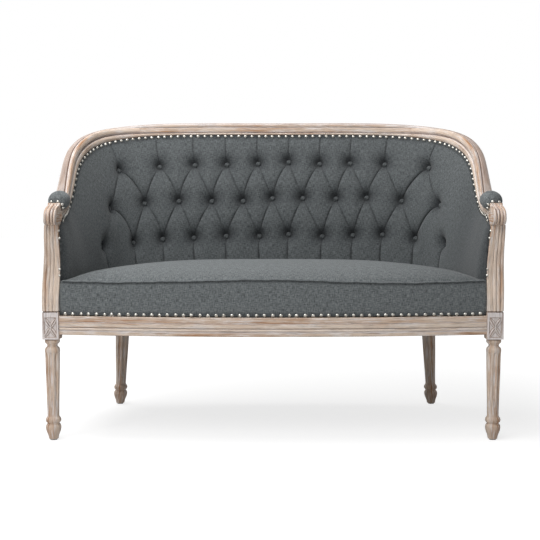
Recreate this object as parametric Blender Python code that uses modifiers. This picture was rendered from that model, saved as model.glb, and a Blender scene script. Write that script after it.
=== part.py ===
# Barrel-back loveseat with a deep-buttoned inside back, at real size.
#
# Metres, +Z up, +X to the sitter's left as seen from the front (the viewer's right), +Y to the back.
# The origin is on the floor at the middle of the footprint.
#
# The back and arms are one wall that bends round the seat. Its top edge is the rail line, which
# runs from one arm front, up over the wings, along the crest and down to the other arm. Its foot is
# the base line, on top of the seat rails. A place on the wall is given by its reach, which is the
# distance along the rail line from the middle of the crest, and by an inset towards the seat.

import math
from functools import lru_cache

import bmesh
import bpy
import numpy as np
from mathutils import Matrix, Vector

# Clearances between pieces
SEAM = 0.0003
EASE = 0.0010
FRAME_EASE = 0.0025
OVERCUT = 0.004
MERGE = 0.00001

# The seat frame
RAIL_TOP = 0.341
RAIL_HEIGHT = 0.051
RAIL_PROUD = 0.018
RAIL_INNER = 0.022
FRONT_RAIL_THICKNESS = 0.030
FRONT_RAIL_SETBACK = 0.004
FRONT_RAIL_BOW = 0.047
RAIL_GROOVE = 0.004
BRACE_WIDTH = 0.045
BRACE_HEIGHT = 0.026
BRACE_DROP = 0.014
CORNER_REACH = 0.075
CORNER_HEIGHT = 0.032
CORNER_DROP = 0.008
CORNER_THICKNESS = 0.024
CORNER_OVERLAP = 0.050

# The legs
LEG_SPAN_SHARE = 0.9764
LEG_SET = 0.022
BLOCK_SIDE = 0.045
BLOCK_HEIGHT = 0.074
BLOCK_RISE = 0.010
BLOCK_EASING = 0.0012
PANEL_MARGIN = 0.0055
PANEL_CAP = 0.013
PANEL_DEPTH = 0.0022
LEG_RADIUS = 0.0205
LEG_STEPS = 16
FLUTE_COUNT = 8
FLUTE_RADIUS = 0.0068
FLUTE_BITE = 0.0034
FLUTE_SIDES = 8
GLIDE_RADIUS = 0.0095
GLIDE_HEIGHT = 0.002
GLIDE_SIDES = 16
REAR_REACH_SHARE = 0.4618
REAR_SPLAY = 0.030

# Radius and height of the turning, from the block down to the foot
TURNING_SHARES = (
    (0.976, 1.000), (0.976, 0.971), (0.750, 0.955), (0.660, 0.934), (0.750, 0.913), (0.960, 0.894),
    (1.000, 0.874), (0.960, 0.854), (0.895, 0.840), (0.951, 0.830), (0.756, 0.240), (0.830, 0.222),
    (0.985, 0.203), (1.024, 0.182), (0.985, 0.162), (0.670, 0.150), (0.740, 0.142), (0.940, 0.131),
    (1.000, 0.116), (0.930, 0.088), (0.740, 0.040), (0.634, 0.000),
)
COLUMN_TOP_SHARES = (0.951, 0.830)
COLUMN_FOOT_SHARES = (0.756, 0.240)
FLUTE_INSET_SHARE = 0.03
FLUTE_ROUND_SHARES = ((0.00, 0.10), (0.02, 0.70), (0.05, 1.00), (0.93, 1.00), (0.97, 0.70), (1.00, 0.10))

# Depth and drop of the moulding on the outer face of a seat rail, from the top down
MOULDING_SHARES = (
    (0.40, 0.00), (0.00, 0.04), (0.00, 0.18), (1.00, 0.23), (0.20, 0.27), (0.00, 0.37), (0.20, 0.46),
    (1.00, 0.51), (0.10, 0.55), (0.00, 0.64), (0.90, 0.69), (0.35, 0.73), (0.35, 1.00),
)

# The lines of the wall
ARM_SPAN = 0.614
BASE_SPAN_SHARE = 0.9805
WALL_DEPTH = 0.6245
CREST_BACK_SHARE = 0.5196
BACK_RAKE = 0.0625
ARM_Z = 0.630
CREST_Z = 0.8795

# Rail line across, along and up, then base line across and along, from the crest to the arm front
WALL_SHARES = (
    (0.000, 1.000, 1.000, 0.000, 1.000),
    (0.391, 0.992, 1.000, 0.374, 0.991),
    (0.660, 0.963, 0.978, 0.623, 0.961),
    (0.795, 0.908, 0.940, 0.751, 0.922),
    (0.892, 0.831, 0.882, 0.836, 0.872),
    (0.946, 0.745, 0.805, 0.899, 0.797),
    (0.977, 0.656, 0.701, 0.940, 0.712),
    (0.993, 0.586, 0.580, 0.963, 0.641),
    (0.999, 0.525, 0.416, 0.978, 0.577),
    (1.000, 0.471, 0.243, 0.988, 0.516),
    (0.997, 0.406, 0.108, 0.995, 0.448),
    (0.984, 0.311, 0.044, 1.000, 0.347),
    (0.971, 0.199, 0.020, 1.000, 0.222),
    (0.963, 0.088, 0.000, 0.998, 0.098),
    (0.963, 0.000, -0.032, 0.997, 0.000),
)

# The moulded rail that caps the wall
CAP_THICKNESS = 0.036
ARM_THICKNESS = 0.048
CAP_TOP = 0.0205
CAP_ROUND = 0.009
CAP_GROOVE = 0.0028
BAND_HALF = 0.0085
BEAD_BULGE = 0.0012
BEAD_DROP = 0.020
LEDGE_DROP = 0.034
LEDGE_SET = 0.010
CREST_JOINT_COLUMN = 16
WING_JOINT_COLUMN = 31
ARM_SWELL_START_SHARE = 0.66
ARM_SWELL_END_SHARE = 0.80

# The arm fronts
PAD_SEAT_HEIGHT = 0.002
KNUCKLE_WIDTH = 0.046
KNUCKLE_RADIUS = 0.0285
KNUCKLE_AHEAD = 0.003
KNUCKLE_DROP = 0.044
KNUCKLE_LOBES = 3
LOBE_DEPTH = 0.0030
POST_THICKNESS = 0.046
POST_TOP_THICKNESS = 0.038
POST_SWEEP = 0.012
POST_REEDS = 3
REED_RISE = 0.0028
ARM_PAD_HALF_WIDTH = 0.0300
ARM_PAD_HEIGHT = 0.046
ARM_PAD_ROUND = 0.045

# The upholstery of the wall
SHELL_THICKNESS = 0.005
WALL_INNER = 0.008
PAD_EDGE = 0.0085
PAD_FULL = 0.100
PAD_SEAT_SHARE = 0.25
PAD_REACH_SHARES = (0.00, 0.30, 0.48, 0.60, 0.75, 0.88, 1.00)
PAD_FULL_SHARES = (0.86, 0.92, 0.88, 0.76, 0.58, 0.42, 0.22)
TUFT_STEP_SHARE = 0.04169
TUFT_STRETCH_SHARE = 0.37
TUFT_STEPS = 11.5
FINE_STEPS = 10.5
TUFT_DEPTH = 0.024
TUFT_SPREAD = 0.024
PLEAT_DEPTH = 0.009
PLEAT_SPREAD = 0.011
BUTTON_RADIUS = 0.008
BUTTON_RISE = 0.005
BUTTON_ROOT = 0.008
BUTTON_CROWN_SHARE = 0.55
BUTTON_SIDES = 5
SIDE_COLUMNS = 12
ROW_SHARES = (0.374, 0.598, 0.824)
LAST_BUTTON_STEPS = (11, 10, 9)
TOP_ROW_SHARES = (0.91, 1.0)
FOOT_ROW_SHARES = (0.0, 0.24)

# The inner frame of the wall
POST_HALF_WIDTH = 0.020
STILE_REACH_SHARE = 0.161
STAY_LOW_SHARE = 0.17
STAY_HIGH_SHARE = 0.24
STILE_LOW_SHARE = 0.243

# The seat
WEB_THICKNESS = 0.002
WEB_WIDTH = 0.052
WEB_LENGTHWISE = 7
WEB_CROSSWISE = 3
WEB_BEARING = 0.010
SEAT_EDGE_Z = 0.437
SEAT_CROWN = 0.034
SEAT_SETBACK = 0.005
SEAT_DRAW = 0.004
SEAT_CENTRE_Y = -0.060
FRONT_STEPS = 18
PIPING_RADIUS = 0.0035
COVER_THICKNESS = 0.0015

# Places that follow from the sizes above
BASE_SPAN = ARM_SPAN * BASE_SPAN_SHARE
CREST_Y = WALL_DEPTH * CREST_BACK_SHARE
ARM_FRONT_Y = CREST_Y - WALL_DEPTH
BASE_BACK_Y = CREST_Y - BACK_RAKE
LEG_X = ARM_SPAN * LEG_SPAN_SHARE
LEG_Y = ARM_FRONT_Y + LEG_SET
KNUCKLE_Y = ARM_FRONT_Y - KNUCKLE_AHEAD
KNUCKLE_BOTTOM = ARM_Z - KNUCKLE_DROP
UP = np.array((0.0, 0.0, 1.0))
WAVE = 2.0 * math.pi


# Scene, materials and collections

def clear_scene():
    for item in list(bpy.data.objects):
        bpy.data.objects.remove(item, do_unlink=True)


def new_collection(name):
    group = bpy.data.collections.new(name)
    bpy.context.scene.collection.children.link(group)
    return group


def finish(name, colour, roughness, metallic=0.0):
    look = bpy.data.materials.new(name)
    look.use_nodes = True
    shader = look.node_tree.nodes["Principled BSDF"]
    shader.inputs["Base Color"].default_value = (*colour, 1.0)
    shader.inputs["Roughness"].default_value = roughness
    shader.inputs["Metallic"].default_value = metallic
    look.diffuse_color = (*colour, 1.0)
    return look


clear_scene()
PARTS = new_collection("loveseat")
CUTTERS = new_collection("cutters")
LOOKS = {
    "wood": ((0.47, 0.37, 0.29), 0.62, 0.0),
    "hidden_wood": ((0.55, 0.42, 0.27), 0.70, 0.0),
    "cloth": ((0.085, 0.095, 0.100), 0.92, 0.0),
    "webbing": ((0.30, 0.25, 0.17), 0.95, 0.0),
    "lining": ((0.02, 0.02, 0.02), 0.95, 0.0),
    "steel": ((0.60, 0.60, 0.58), 0.35, 1.0),
}


def add_part(name, mesh, look):
    """Put a finished mesh in the model as one named piece with its own material."""
    piece = bpy.data.objects.new(name, mesh)
    mesh.materials.clear()
    mesh.materials.append(finish(name + "_" + look, *LOOKS[look]))
    PARTS.objects.link(piece)
    return piece


def add_cutter(name, mesh):
    piece = bpy.data.objects.new(name, mesh)
    piece.hide_render = True
    piece.display_type = "WIRE"
    CUTTERS.objects.link(piece)
    return piece


def mesh_from(name, build):
    """Make a mesh from a function that fills a bmesh, with its faces turned outwards."""
    work = bmesh.new()
    build(work)
    bmesh.ops.recalc_face_normals(work, faces=work.faces)
    mesh = bpy.data.meshes.new(name)
    work.to_mesh(mesh)
    work.free()
    return mesh


def evaluated(piece):
    """The mesh of an object with its modifiers carried out."""
    bpy.context.view_layer.update()
    graph = bpy.context.evaluated_depsgraph_get()
    return bpy.data.meshes.new_from_object(piece.evaluated_get(graph))


def boolean(piece, cutter, operation):
    step = piece.modifiers.new(operation.lower(), "BOOLEAN")
    step.operation = operation
    step.solver = "EXACT"
    step.object = cutter
    return step


def combined(name, base, steps):
    """Carry out union and difference steps on a base mesh and return the result."""
    piece = add_cutter(name + "_blank", base)
    for number, (operation, tool) in enumerate(steps):
        boolean(piece, add_cutter(f"{name}_tool_{number}", tool), operation)
    return evaluated(piece)


# Lofted skins

def loft(name, rings):
    """A closed skin through rings of equal count, with a face across each end."""
    count = len(rings[0])

    def build(work):
        grid = [[work.verts.new(point) for point in ring] for ring in rings]
        for ring, following in zip(grid, grid[1:]):
            for i in range(count):
                j = (i + 1) % count
                work.faces.new((ring[i], ring[j], following[j], following[i]))
        work.faces.new(grid[0])
        work.faces.new(grid[-1])

    return mesh_from(name, build)


def stitch(work, row, following):
    """Fill the strip between two rows of (place, vertex) with triangles."""
    i = 0
    j = 0
    while i < len(row) - 1 or j < len(following) - 1:
        row_next = row[i + 1][0] + row[i][0] if i < len(row) - 1 else math.inf
        other_next = following[j + 1][0] + following[j][0] if j < len(following) - 1 else math.inf
        if row_next <= other_next:
            work.faces.new((row[i][1], row[i + 1][1], following[j][1]))
            i += 1
        else:
            work.faces.new((row[i][1], following[j + 1][1], following[j][1]))
            j += 1


def box_mesh(name, low, high, easing=0.0):
    """A block between two corners, with its edges eased."""
    def build(work):
        bmesh.ops.create_cube(work, size=1.0)
        size = Vector(high) - Vector(low)
        middle = (Vector(high) + Vector(low)) / 2.0
        bmesh.ops.scale(work, vec=size, verts=work.verts)
        bmesh.ops.translate(work, vec=middle, verts=work.verts)
        if easing > 0.0:
            bmesh.ops.bevel(work, geom=work.edges[:], offset=easing, segments=1,
                            profile=0.5, affect="EDGES", material=-1)

    return mesh_from(name, build)


def mirrored(name, mesh):
    """A copy of a mesh for the other side of the seat."""
    def build(work):
        work.from_mesh(mesh)
        bmesh.ops.scale(work, vec=(-1.0, 1.0, 1.0), verts=work.verts)

    return mesh_from(name, build)


# The rail line and the base line

def unit(vector):
    return vector / np.linalg.norm(vector)


def both_sides(half):
    """Mirror a half table of points, given from the middle outwards."""
    other = half[:0:-1].copy()
    other[:, 0] *= -1.0
    return np.vstack((other, half))


def natural_spline(knots, values):
    """A smooth curve through the values, straight at both ends."""
    count = len(knots)
    gaps = np.diff(knots)
    system = np.eye(count)
    target = np.zeros(values.shape)
    for i in range(1, count - 1):
        system[i, i - 1] = gaps[i - 1]
        system[i, i] = 2.0 * (gaps[i - 1] + gaps[i])
        system[i, i + 1] = gaps[i]
        rise = (values[i + 1] - values[i]) / gaps[i]
        target[i] = 6.0 * (rise - (values[i] - values[i - 1]) / gaps[i - 1])
    bend = np.linalg.solve(system, target)

    def at(place):
        i = int(np.clip(np.searchsorted(knots, place) - 1, 0, count - 2))
        before = (knots[i + 1] - place) / gaps[i]
        after = (place - knots[i]) / gaps[i]
        curve = (before ** 3 - before) * bend[i] + (after ** 3 - after) * bend[i + 1]
        return before * values[i] + after * values[i + 1] + curve * gaps[i] ** 2 / 6.0

    return at


def wall_lines():
    """The rail line and base line as functions of reach, and the half length of the rail line."""
    depth = CREST_Y - ARM_FRONT_Y
    base_depth = BASE_BACK_Y - ARM_FRONT_Y
    rail = []
    base = []
    for across, along, up, base_across, base_along in WALL_SHARES:
        rail.append((across * ARM_SPAN, ARM_FRONT_Y + along * depth, ARM_Z + up * (CREST_Z - ARM_Z)))
        base.append((base_across * BASE_SPAN, ARM_FRONT_Y + base_along * base_depth, RAIL_TOP))
    rail = both_sides(np.array(rail))
    base = both_sides(np.array(base))
    steps = np.linalg.norm(np.diff(rail, axis=0), axis=1)
    reach = np.concatenate(((0.0,), np.cumsum(steps)))
    reach -= reach[-1] / 2.0
    return natural_spline(reach, rail), natural_spline(reach, base), reach[-1]


RAIL_LINE, BASE_LINE, HALF_REACH = wall_lines()
NUDGE = HALF_REACH / 2000.0
REAR_REACH = HALF_REACH * REAR_REACH_SHARE
STILE_REACH = HALF_REACH * STILE_REACH_SHARE
TUFT_STEP = HALF_REACH * TUFT_STEP_SHARE


@lru_cache(maxsize=None)
def rail_frame(reach):
    """Centre of the rail, the way into the seat and the way up the wall."""
    centre = RAIL_LINE(reach)
    along = unit(RAIL_LINE(reach + NUDGE) - RAIL_LINE(reach - NUDGE))
    inward = unit(np.cross(along, centre - BASE_LINE(reach)))
    return centre, inward, np.cross(inward, along)


@lru_cache(maxsize=None)
def base_frame(reach):
    """A point on top of the seat rail and the level way into the seat."""
    along = BASE_LINE(reach + NUDGE) - BASE_LINE(reach - NUDGE)
    return BASE_LINE(reach), unit(np.cross(along, UP))


def rail_point(reach, inset, height):
    centre, inward, upward = rail_frame(reach)
    return centre + inward * inset + upward * height


def base_point(reach, inset, height=0.0):
    foot, inward = base_frame(reach)
    return foot + inward * inset + UP * height


def reach_at(line, y):
    """The reach on the right arm at which a line passes a given Y."""
    near = HALF_REACH / 2.0
    far = HALF_REACH
    for _ in range(40):
        middle = (near + far) / 2.0
        if line(middle)[1] > y:
            near = middle
        else:
            far = middle
    return near


BLOCK_BACK = LEG_Y + BLOCK_SIDE / 2.0
BLOCK_INNER = LEG_X - BLOCK_SIDE / 2.0
POST_REACH = reach_at(RAIL_LINE, BLOCK_BACK + EASE)


def tuft_reach(step):
    """Reach of a column of tufts, the steps widening towards the corners."""
    share = abs(step) / TUFT_STEPS
    return TUFT_STEP * step * (1.0 + TUFT_STRETCH_SHARE * share ** 3.0)


def half_steps():
    """Tuft steps from the middle outwards: half steps, then quarter steps round the corner."""
    steps = [number / 2.0 for number in range(int(FINE_STEPS * 2.0))]
    fine = int((TUFT_STEPS - FINE_STEPS) * 4.0)
    return steps + [FINE_STEPS + number / 4.0 for number in range(fine + 1)]


STEPS = half_steps()
LAST_TUFT_COLUMN = len(STEPS) - 1
PLAIN_COLUMNS = 16


def column_reach(column):
    """Reach of a numbered column: tuft steps, then even steps along the wing and arm."""
    size = abs(column)
    if size <= LAST_TUFT_COLUMN:
        return math.copysign(tuft_reach(STEPS[size]), column)
    edge = tuft_reach(TUFT_STEPS)
    share = (size - LAST_TUFT_COLUMN) / SIDE_COLUMNS
    return math.copysign(edge + (POST_REACH - edge) * share, column)


LAST_COLUMN = LAST_TUFT_COLUMN + SIDE_COLUMNS


def columns_between(first, last, coarse=False):
    """Reaches of the columns from first to last, kept a seam clear at both ends."""
    chosen = []
    for column in range(first, last + 1):
        if coarse and abs(column) < PLAIN_COLUMNS and column % 2 and column not in (first, last):
            continue
        chosen.append(column_reach(column))
    chosen[0] += SEAM / 2.0
    chosen[-1] -= SEAM / 2.0
    return chosen


PLAN_REACHES = columns_between(-LAST_COLUMN, LAST_COLUMN, coarse=True)


# The moulded cap rail: crest, wings and arms

def half_thickness(reach):
    """The rail grows thicker from the wing to the arm."""
    start = ARM_SWELL_START_SHARE
    share = (abs(reach) / HALF_REACH - start) / (ARM_SWELL_END_SHARE - start)
    share = min(max(share, 0.0), 1.0)
    swell = share * share * (3.0 - 2.0 * share)
    return (CAP_THICKNESS + (ARM_THICKNESS - CAP_THICKNESS) * swell) / 2.0


def cap_ring(reach, squash=1.0):
    """Moulded section of the rail, with the part above its middle squashed where a pad sits."""
    half = half_thickness(reach)
    nib = CAP_GROOVE / 2.0
    top = BAND_HALF + 2.0 * nib
    section = (
        (-half, -LEDGE_DROP),
        (-half, CAP_TOP - CAP_ROUND),
        (-half + CAP_ROUND * 0.3, CAP_TOP - CAP_ROUND * 0.3),
        (-half + CAP_ROUND, CAP_TOP),
        (half - CAP_ROUND, CAP_TOP),
        (half - CAP_ROUND * 0.3, CAP_TOP - CAP_ROUND * 0.3),
        (half, top + nib),
        (half - CAP_GROOVE, BAND_HALF + nib),
        (half, BAND_HALF),
        (half + nib / 2.0, 0.0),
        (half, -BAND_HALF),
        (half - CAP_GROOVE, -BAND_HALF - nib),
        (half + BEAD_BULGE * 0.5, -BAND_HALF - 2.0 * nib),
        (half + BEAD_BULGE, (-BEAD_DROP - BAND_HALF - nib) / 2.0),
        (half - BEAD_BULGE, -BEAD_DROP),
        (half - LEDGE_SET, -BEAD_DROP),
        (half - LEDGE_SET, -LEDGE_DROP),
    )
    ring = []
    for inset, height in section:
        if height > 0.0:
            height *= squash
        ring.append(rail_point(reach, inset, height))
    return ring


def crest_and_wings():
    crest = columns_between(-CREST_JOINT_COLUMN, CREST_JOINT_COLUMN, coarse=True)
    add_part("crest_rail", loft("crest_rail", [cap_ring(reach) for reach in crest]), "wood")
    wing = columns_between(CREST_JOINT_COLUMN, WING_JOINT_COLUMN)
    mesh = loft("wing_rail_right", [cap_ring(reach) for reach in wing])
    add_part("wing_rail_right", mesh, "wood")
    add_part("wing_rail_left", mirrored("wing_rail_left", mesh), "wood")


def knuckle_mesh():
    """Scrolled arm front: a rolled side outline carried across in rounded lobes."""
    tip = RAIL_LINE(reach_at(RAIL_LINE, KNUCKLE_Y))
    centre_z = KNUCKLE_BOTTOM + KNUCKLE_RADIUS
    back = BLOCK_BACK
    shoulder_z = rail_point(POST_REACH, 0.0, PAD_SEAT_HEIGHT)[2] - SEAM
    steps = 4 * KNUCKLE_LOBES
    rings = []
    for step in range(steps + 1):
        share = step / steps
        lobe = abs(math.sin(math.pi * KNUCKLE_LOBES * share)) ** 0.6
        radius = KNUCKLE_RADIUS - LOBE_DEPTH * (1.0 - lobe)
        x = tip[0] + KNUCKLE_WIDTH * (share - 0.5)
        ring = [(x, back, KNUCKLE_BOTTOM), (x, back, shoulder_z)]
        for turn in range(9):
            angle = math.radians(70.0 + 200.0 * turn / 8.0)
            y = KNUCKLE_Y + radius * math.cos(angle)
            z = centre_z + radius * math.sin(angle)
            ring.append((x, y, max(z, KNUCKLE_BOTTOM)))
        rings.append(ring)
    return loft("knuckle", rings)


def arms():
    """Each arm rail with its seat for the pad, ending in the scrolled front."""
    squash = PAD_SEAT_HEIGHT / CAP_TOP
    reaches = columns_between(WING_JOINT_COLUMN, LAST_COLUMN)
    rings = [cap_ring(reaches[0]), cap_ring(reaches[0] + EASE)]
    rings.append(cap_ring(reaches[0] + 2.0 * EASE, squash))
    rings.extend(cap_ring(reach, squash) for reach in reaches[1:])
    rings.append(cap_ring(POST_REACH + BLOCK_SIDE / 4.0, squash))
    arm = combined("arm", loft("arm", rings), [("UNION", knuckle_mesh())])
    add_part("arm_right", arm, "wood")
    add_part("arm_left", mirrored("arm_left", arm), "wood")


# The seat frame and the legs

LEG_TOP = RAIL_TOP + BLOCK_RISE - BLOCK_HEIGHT
LEG_FOOT = GLIDE_HEIGHT + SEAM
BLOCK_TOP = RAIL_TOP + BLOCK_RISE
REAR_CENTRE = base_point(REAR_REACH, (RAIL_INNER - RAIL_PROUD) / 2.0)
REAR_INWARD = base_frame(REAR_REACH)[1]
REAR_TURN = math.atan2(-REAR_INWARD[0], REAR_INWARD[1]) + math.pi


def block_mesh(name, top, grow=0.0, easing=0.0):
    """Square leg block centred on the origin, standing on the turned leg."""
    half = BLOCK_SIDE / 2.0 + grow
    return box_mesh(name, (-half, -half, LEG_TOP - grow), (half, half, top + grow), easing)


def placed(mesh, matrix):
    mesh.transform(matrix)
    return mesh


def front_place(side):
    return Matrix.Translation((side * LEG_X, LEG_Y, 0.0))


def rear_place(side):
    turn = Matrix.Rotation(side * REAR_TURN, 4, "Z")
    return Matrix.Translation((side * REAR_CENTRE[0], REAR_CENTRE[1], 0.0)) @ turn


def rail_cuts():
    """Tools that cut the seat rails to meet the four leg blocks."""
    steps = []
    for side in (-1.0, 1.0):
        for name, place in (("front", front_place(side)), ("rear", rear_place(side))):
            tool = block_mesh(f"{name}_block_tool", BLOCK_TOP + OVERCUT, SEAM)
            steps.append(("DIFFERENCE", placed(tool, place)))
    return steps


def moulded_face(front):
    """Moulding of a seat rail as depth behind its face and height."""
    face = []
    for depth, drop in MOULDING_SHARES:
        face.append((front + depth * RAIL_GROOVE, RAIL_TOP - drop * RAIL_HEIGHT))
    return face


def front_face_y(x):
    """Bowed front of the seat rail."""
    share = x / BLOCK_INNER
    ends = LEG_Y - BLOCK_SIDE / 2.0 + FRONT_RAIL_SETBACK
    return ends - FRONT_RAIL_BOW * (1.0 - share * share)


def seat_rails():
    """Bowed front rail, moulded side rails and the plain curved rear rail."""
    cuts = rail_cuts()
    steps = 18
    rings = []
    for step in range(steps + 1):
        x = LEG_X * (2.0 * step / steps - 1.0)
        y = front_face_y(x)
        ring = [(x, y + depth, z) for depth, z in moulded_face(0.0)]
        ring.append((x, y + FRONT_RAIL_THICKNESS, RAIL_TOP - RAIL_HEIGHT))
        ring.append((x, y + FRONT_RAIL_THICKNESS, RAIL_TOP))
        rings.append(ring)
    front = combined("front_rail", loft("front_rail", rings), [cuts[0], cuts[2]])
    add_part("front_rail", front, "wood")

    plain = [(-RAIL_PROUD, 0.0), (-RAIL_PROUD, -RAIL_HEIGHT)]
    plain += [(RAIL_INNER, -RAIL_HEIGHT), (RAIL_INNER, 0.0)]
    moulded = [(depth, z - RAIL_TOP) for depth, z in moulded_face(-RAIL_PROUD)]
    moulded += [(RAIL_INNER, -RAIL_HEIGHT), (RAIL_INNER, 0.0)]
    middle = [reach for reach in PLAN_REACHES if abs(reach) < REAR_REACH - EASE]
    reaches = (-REAR_REACH, *middle, REAR_REACH)
    rings = [[base_point(reach, *place) for place in plain] for reach in reaches]
    rear = combined("rear_rail", loft("rear_rail", rings), [cuts[1], cuts[3]])
    add_part("rear_rail", rear, "hidden_wood")

    side = [reach for reach in PLAN_REACHES if reach > REAR_REACH + EASE]
    last = POST_REACH + BLOCK_SIDE / 2.0
    rings = [[base_point(reach, *place) for place in moulded] for reach in (REAR_REACH, *side, last)]
    right = combined("side_rail", loft("side_rail", rings), [cuts[2], cuts[3]])
    add_part("side_rail_right", right, "wood")
    add_part("side_rail_left", mirrored("side_rail_left", right), "wood")


def turning_mesh():
    """Turned leg as a profile carried round with a Screw modifier, top to bottom."""
    drop = LEG_TOP - LEG_FOOT
    rise = BLOCK_EASING * 2.0
    points = [(0.0, 0.0, LEG_TOP + rise), (TURNING_SHARES[0][0] * LEG_RADIUS, 0.0, LEG_TOP + rise)]
    for radius, height in TURNING_SHARES[1:]:
        points.append((radius * LEG_RADIUS, 0.0, LEG_FOOT + height * drop))
    points.append((0.0, 0.0, LEG_FOOT))
    mesh = bpy.data.meshes.new("turning_profile")
    mesh.from_pydata(points, [(i, i + 1) for i in range(len(points) - 1)], [])
    profile = add_cutter("turning", mesh)
    screw = profile.modifiers.new("turn", "SCREW")
    screw.angle = WAVE
    screw.steps = LEG_STEPS
    screw.render_steps = LEG_STEPS
    screw.use_merge_vertices = True
    screw.merge_threshold = MERGE
    return evaluated(profile)


def flutes_mesh():
    """Round-ended rods that lean with the taper of the leg and cut its flutes."""
    drop = LEG_TOP - LEG_FOOT
    top = (COLUMN_TOP_SHARES[0] * LEG_RADIUS, LEG_FOOT + COLUMN_TOP_SHARES[1] * drop)
    foot = (COLUMN_FOOT_SHARES[0] * LEG_RADIUS, LEG_FOOT + COLUMN_FOOT_SHARES[1] * drop)

    def build(work):
        for flute in range(FLUTE_COUNT):
            turn = Matrix.Rotation(WAVE * (flute + 0.5) / FLUTE_COUNT, 3, "Z")
            previous = None
            for place, fullness in FLUTE_ROUND_SHARES:
                share = FLUTE_INSET_SHARE + place * (1.0 - 4.0 * FLUTE_INSET_SHARE)
                column = top[0] + (foot[0] - top[0]) * share
                z = top[1] + (foot[1] - top[1]) * share
                size = FLUTE_RADIUS * column / top[0]
                centre = column + size - FLUTE_BITE * column / top[0]
                ring = []
                for corner in range(FLUTE_SIDES):
                    angle = WAVE * (corner + 0.5) / FLUTE_SIDES
                    away = centre + size * fullness * math.cos(angle)
                    aside = size * fullness * math.sin(angle)
                    ring.append(work.verts.new(turn @ Vector((away, aside, z))))
                if previous is None:
                    work.faces.new(ring)
                else:
                    for i in range(FLUTE_SIDES):
                        j = (i + 1) % FLUTE_SIDES
                        work.faces.new((previous[i], previous[j], ring[j], ring[i]))
                previous = ring
            work.faces.new(previous)

    return mesh_from("flutes", build)


def panel_tool(turn):
    """Shallow cutter for the sunk panel on one face of a front leg block."""
    half = BLOCK_SIDE / 2.0
    low = (PANEL_MARGIN - half, -half - OVERCUT, LEG_TOP + PANEL_MARGIN)
    high = (half - PANEL_MARGIN, PANEL_DEPTH - half, BLOCK_TOP - PANEL_CAP)
    return placed(box_mesh("panel_tool", low, high), Matrix.Rotation(turn, 4, "Z"))


def legs():
    """Fluted front legs with panelled blocks, and rear legs splayed back from plain blocks."""
    turning = turning_mesh()
    flutes = flutes_mesh()
    steps = [("UNION", turning), ("DIFFERENCE", flutes)]
    panels = [("DIFFERENCE", panel_tool(0.0)), ("DIFFERENCE", panel_tool(math.pi / 2.0))]
    block = block_mesh("front_block", BLOCK_TOP, easing=BLOCK_EASING)
    front = placed(combined("front_leg", block, steps + panels), front_place(1.0))
    add_part("front_leg_right", front, "wood")
    add_part("front_leg_left", mirrored("front_leg_left", front), "wood")
    block = block_mesh("rear_block", RAIL_TOP, easing=BLOCK_EASING)
    rear = combined("rear_leg", block, steps)
    for vertex in rear.vertices:
        if vertex.co.z < LEG_TOP:
            vertex.co.y += REAR_SPLAY * (LEG_TOP - vertex.co.z) / LEG_TOP
    rear = placed(rear, rear_place(1.0))
    add_part("rear_leg_right", rear, "wood")
    add_part("rear_leg_left", mirrored("rear_leg_left", rear), "wood")


def glides():
    """Steel glides under the four feet."""
    foot = rear_place(1.0) @ Vector((0.0, REAR_SPLAY * (LEG_TOP - GLIDE_HEIGHT) / LEG_TOP, 0.0))
    for name, x, y in (("front", LEG_X, LEG_Y), ("rear", foot.x, foot.y)):
        for side_name, side in (("left", -1.0), ("right", 1.0)):
            def build(work):
                bmesh.ops.create_cone(work, cap_ends=True, segments=GLIDE_SIDES, radius1=GLIDE_RADIUS,
                                      radius2=GLIDE_RADIUS, depth=GLIDE_HEIGHT)
                bmesh.ops.translate(work, vec=(side * x, y, GLIDE_HEIGHT / 2.0), verts=work.verts)

            piece = f"{name}_glide_{side_name}"
            add_part(piece, mesh_from(piece, build), "steel")


def arm_posts():
    """Reeded posts between the leg blocks and the scrolled arm fronts."""
    tip = RAIL_LINE(reach_at(RAIL_LINE, KNUCKLE_Y))
    low = BLOCK_TOP + SEAM
    high = KNUCKLE_BOTTOM - SEAM
    rings = []
    levels = 8
    for level in range(levels + 1):
        share = level / levels
        x = LEG_X + (tip[0] - LEG_X) * share
        half = (POST_THICKNESS + (POST_TOP_THICKNESS - POST_THICKNESS) * share ** 2) / 2.0
        y = LEG_Y + POST_SWEEP * math.sin(math.pi * share) ** 2
        depth = BLOCK_SIDE / 2.0 - POST_SWEEP * math.sin(math.pi * share) ** 2
        z = low + (high - low) * share
        ring = [(x - half, LEG_Y + BLOCK_SIDE / 2.0, z), (x - half, LEG_Y - depth + REED_RISE, z)]
        turns = 4 * POST_REEDS
        for turn in range(1, turns):
            place = turn / turns
            rise = REED_RISE * abs(math.sin(math.pi * POST_REEDS * place)) ** 0.7
            ring.append((x - half + 2.0 * half * place, LEG_Y - depth + REED_RISE - rise, z))
        ring.append((x + half, LEG_Y - depth + REED_RISE, z))
        ring.append((x + half, LEG_Y + BLOCK_SIDE / 2.0, z))
        rings.append(ring)
    post = loft("arm_post_right", rings)
    add_part("arm_post_right", post, "wood")
    add_part("arm_post_left", mirrored("arm_post_left", post), "wood")


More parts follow.
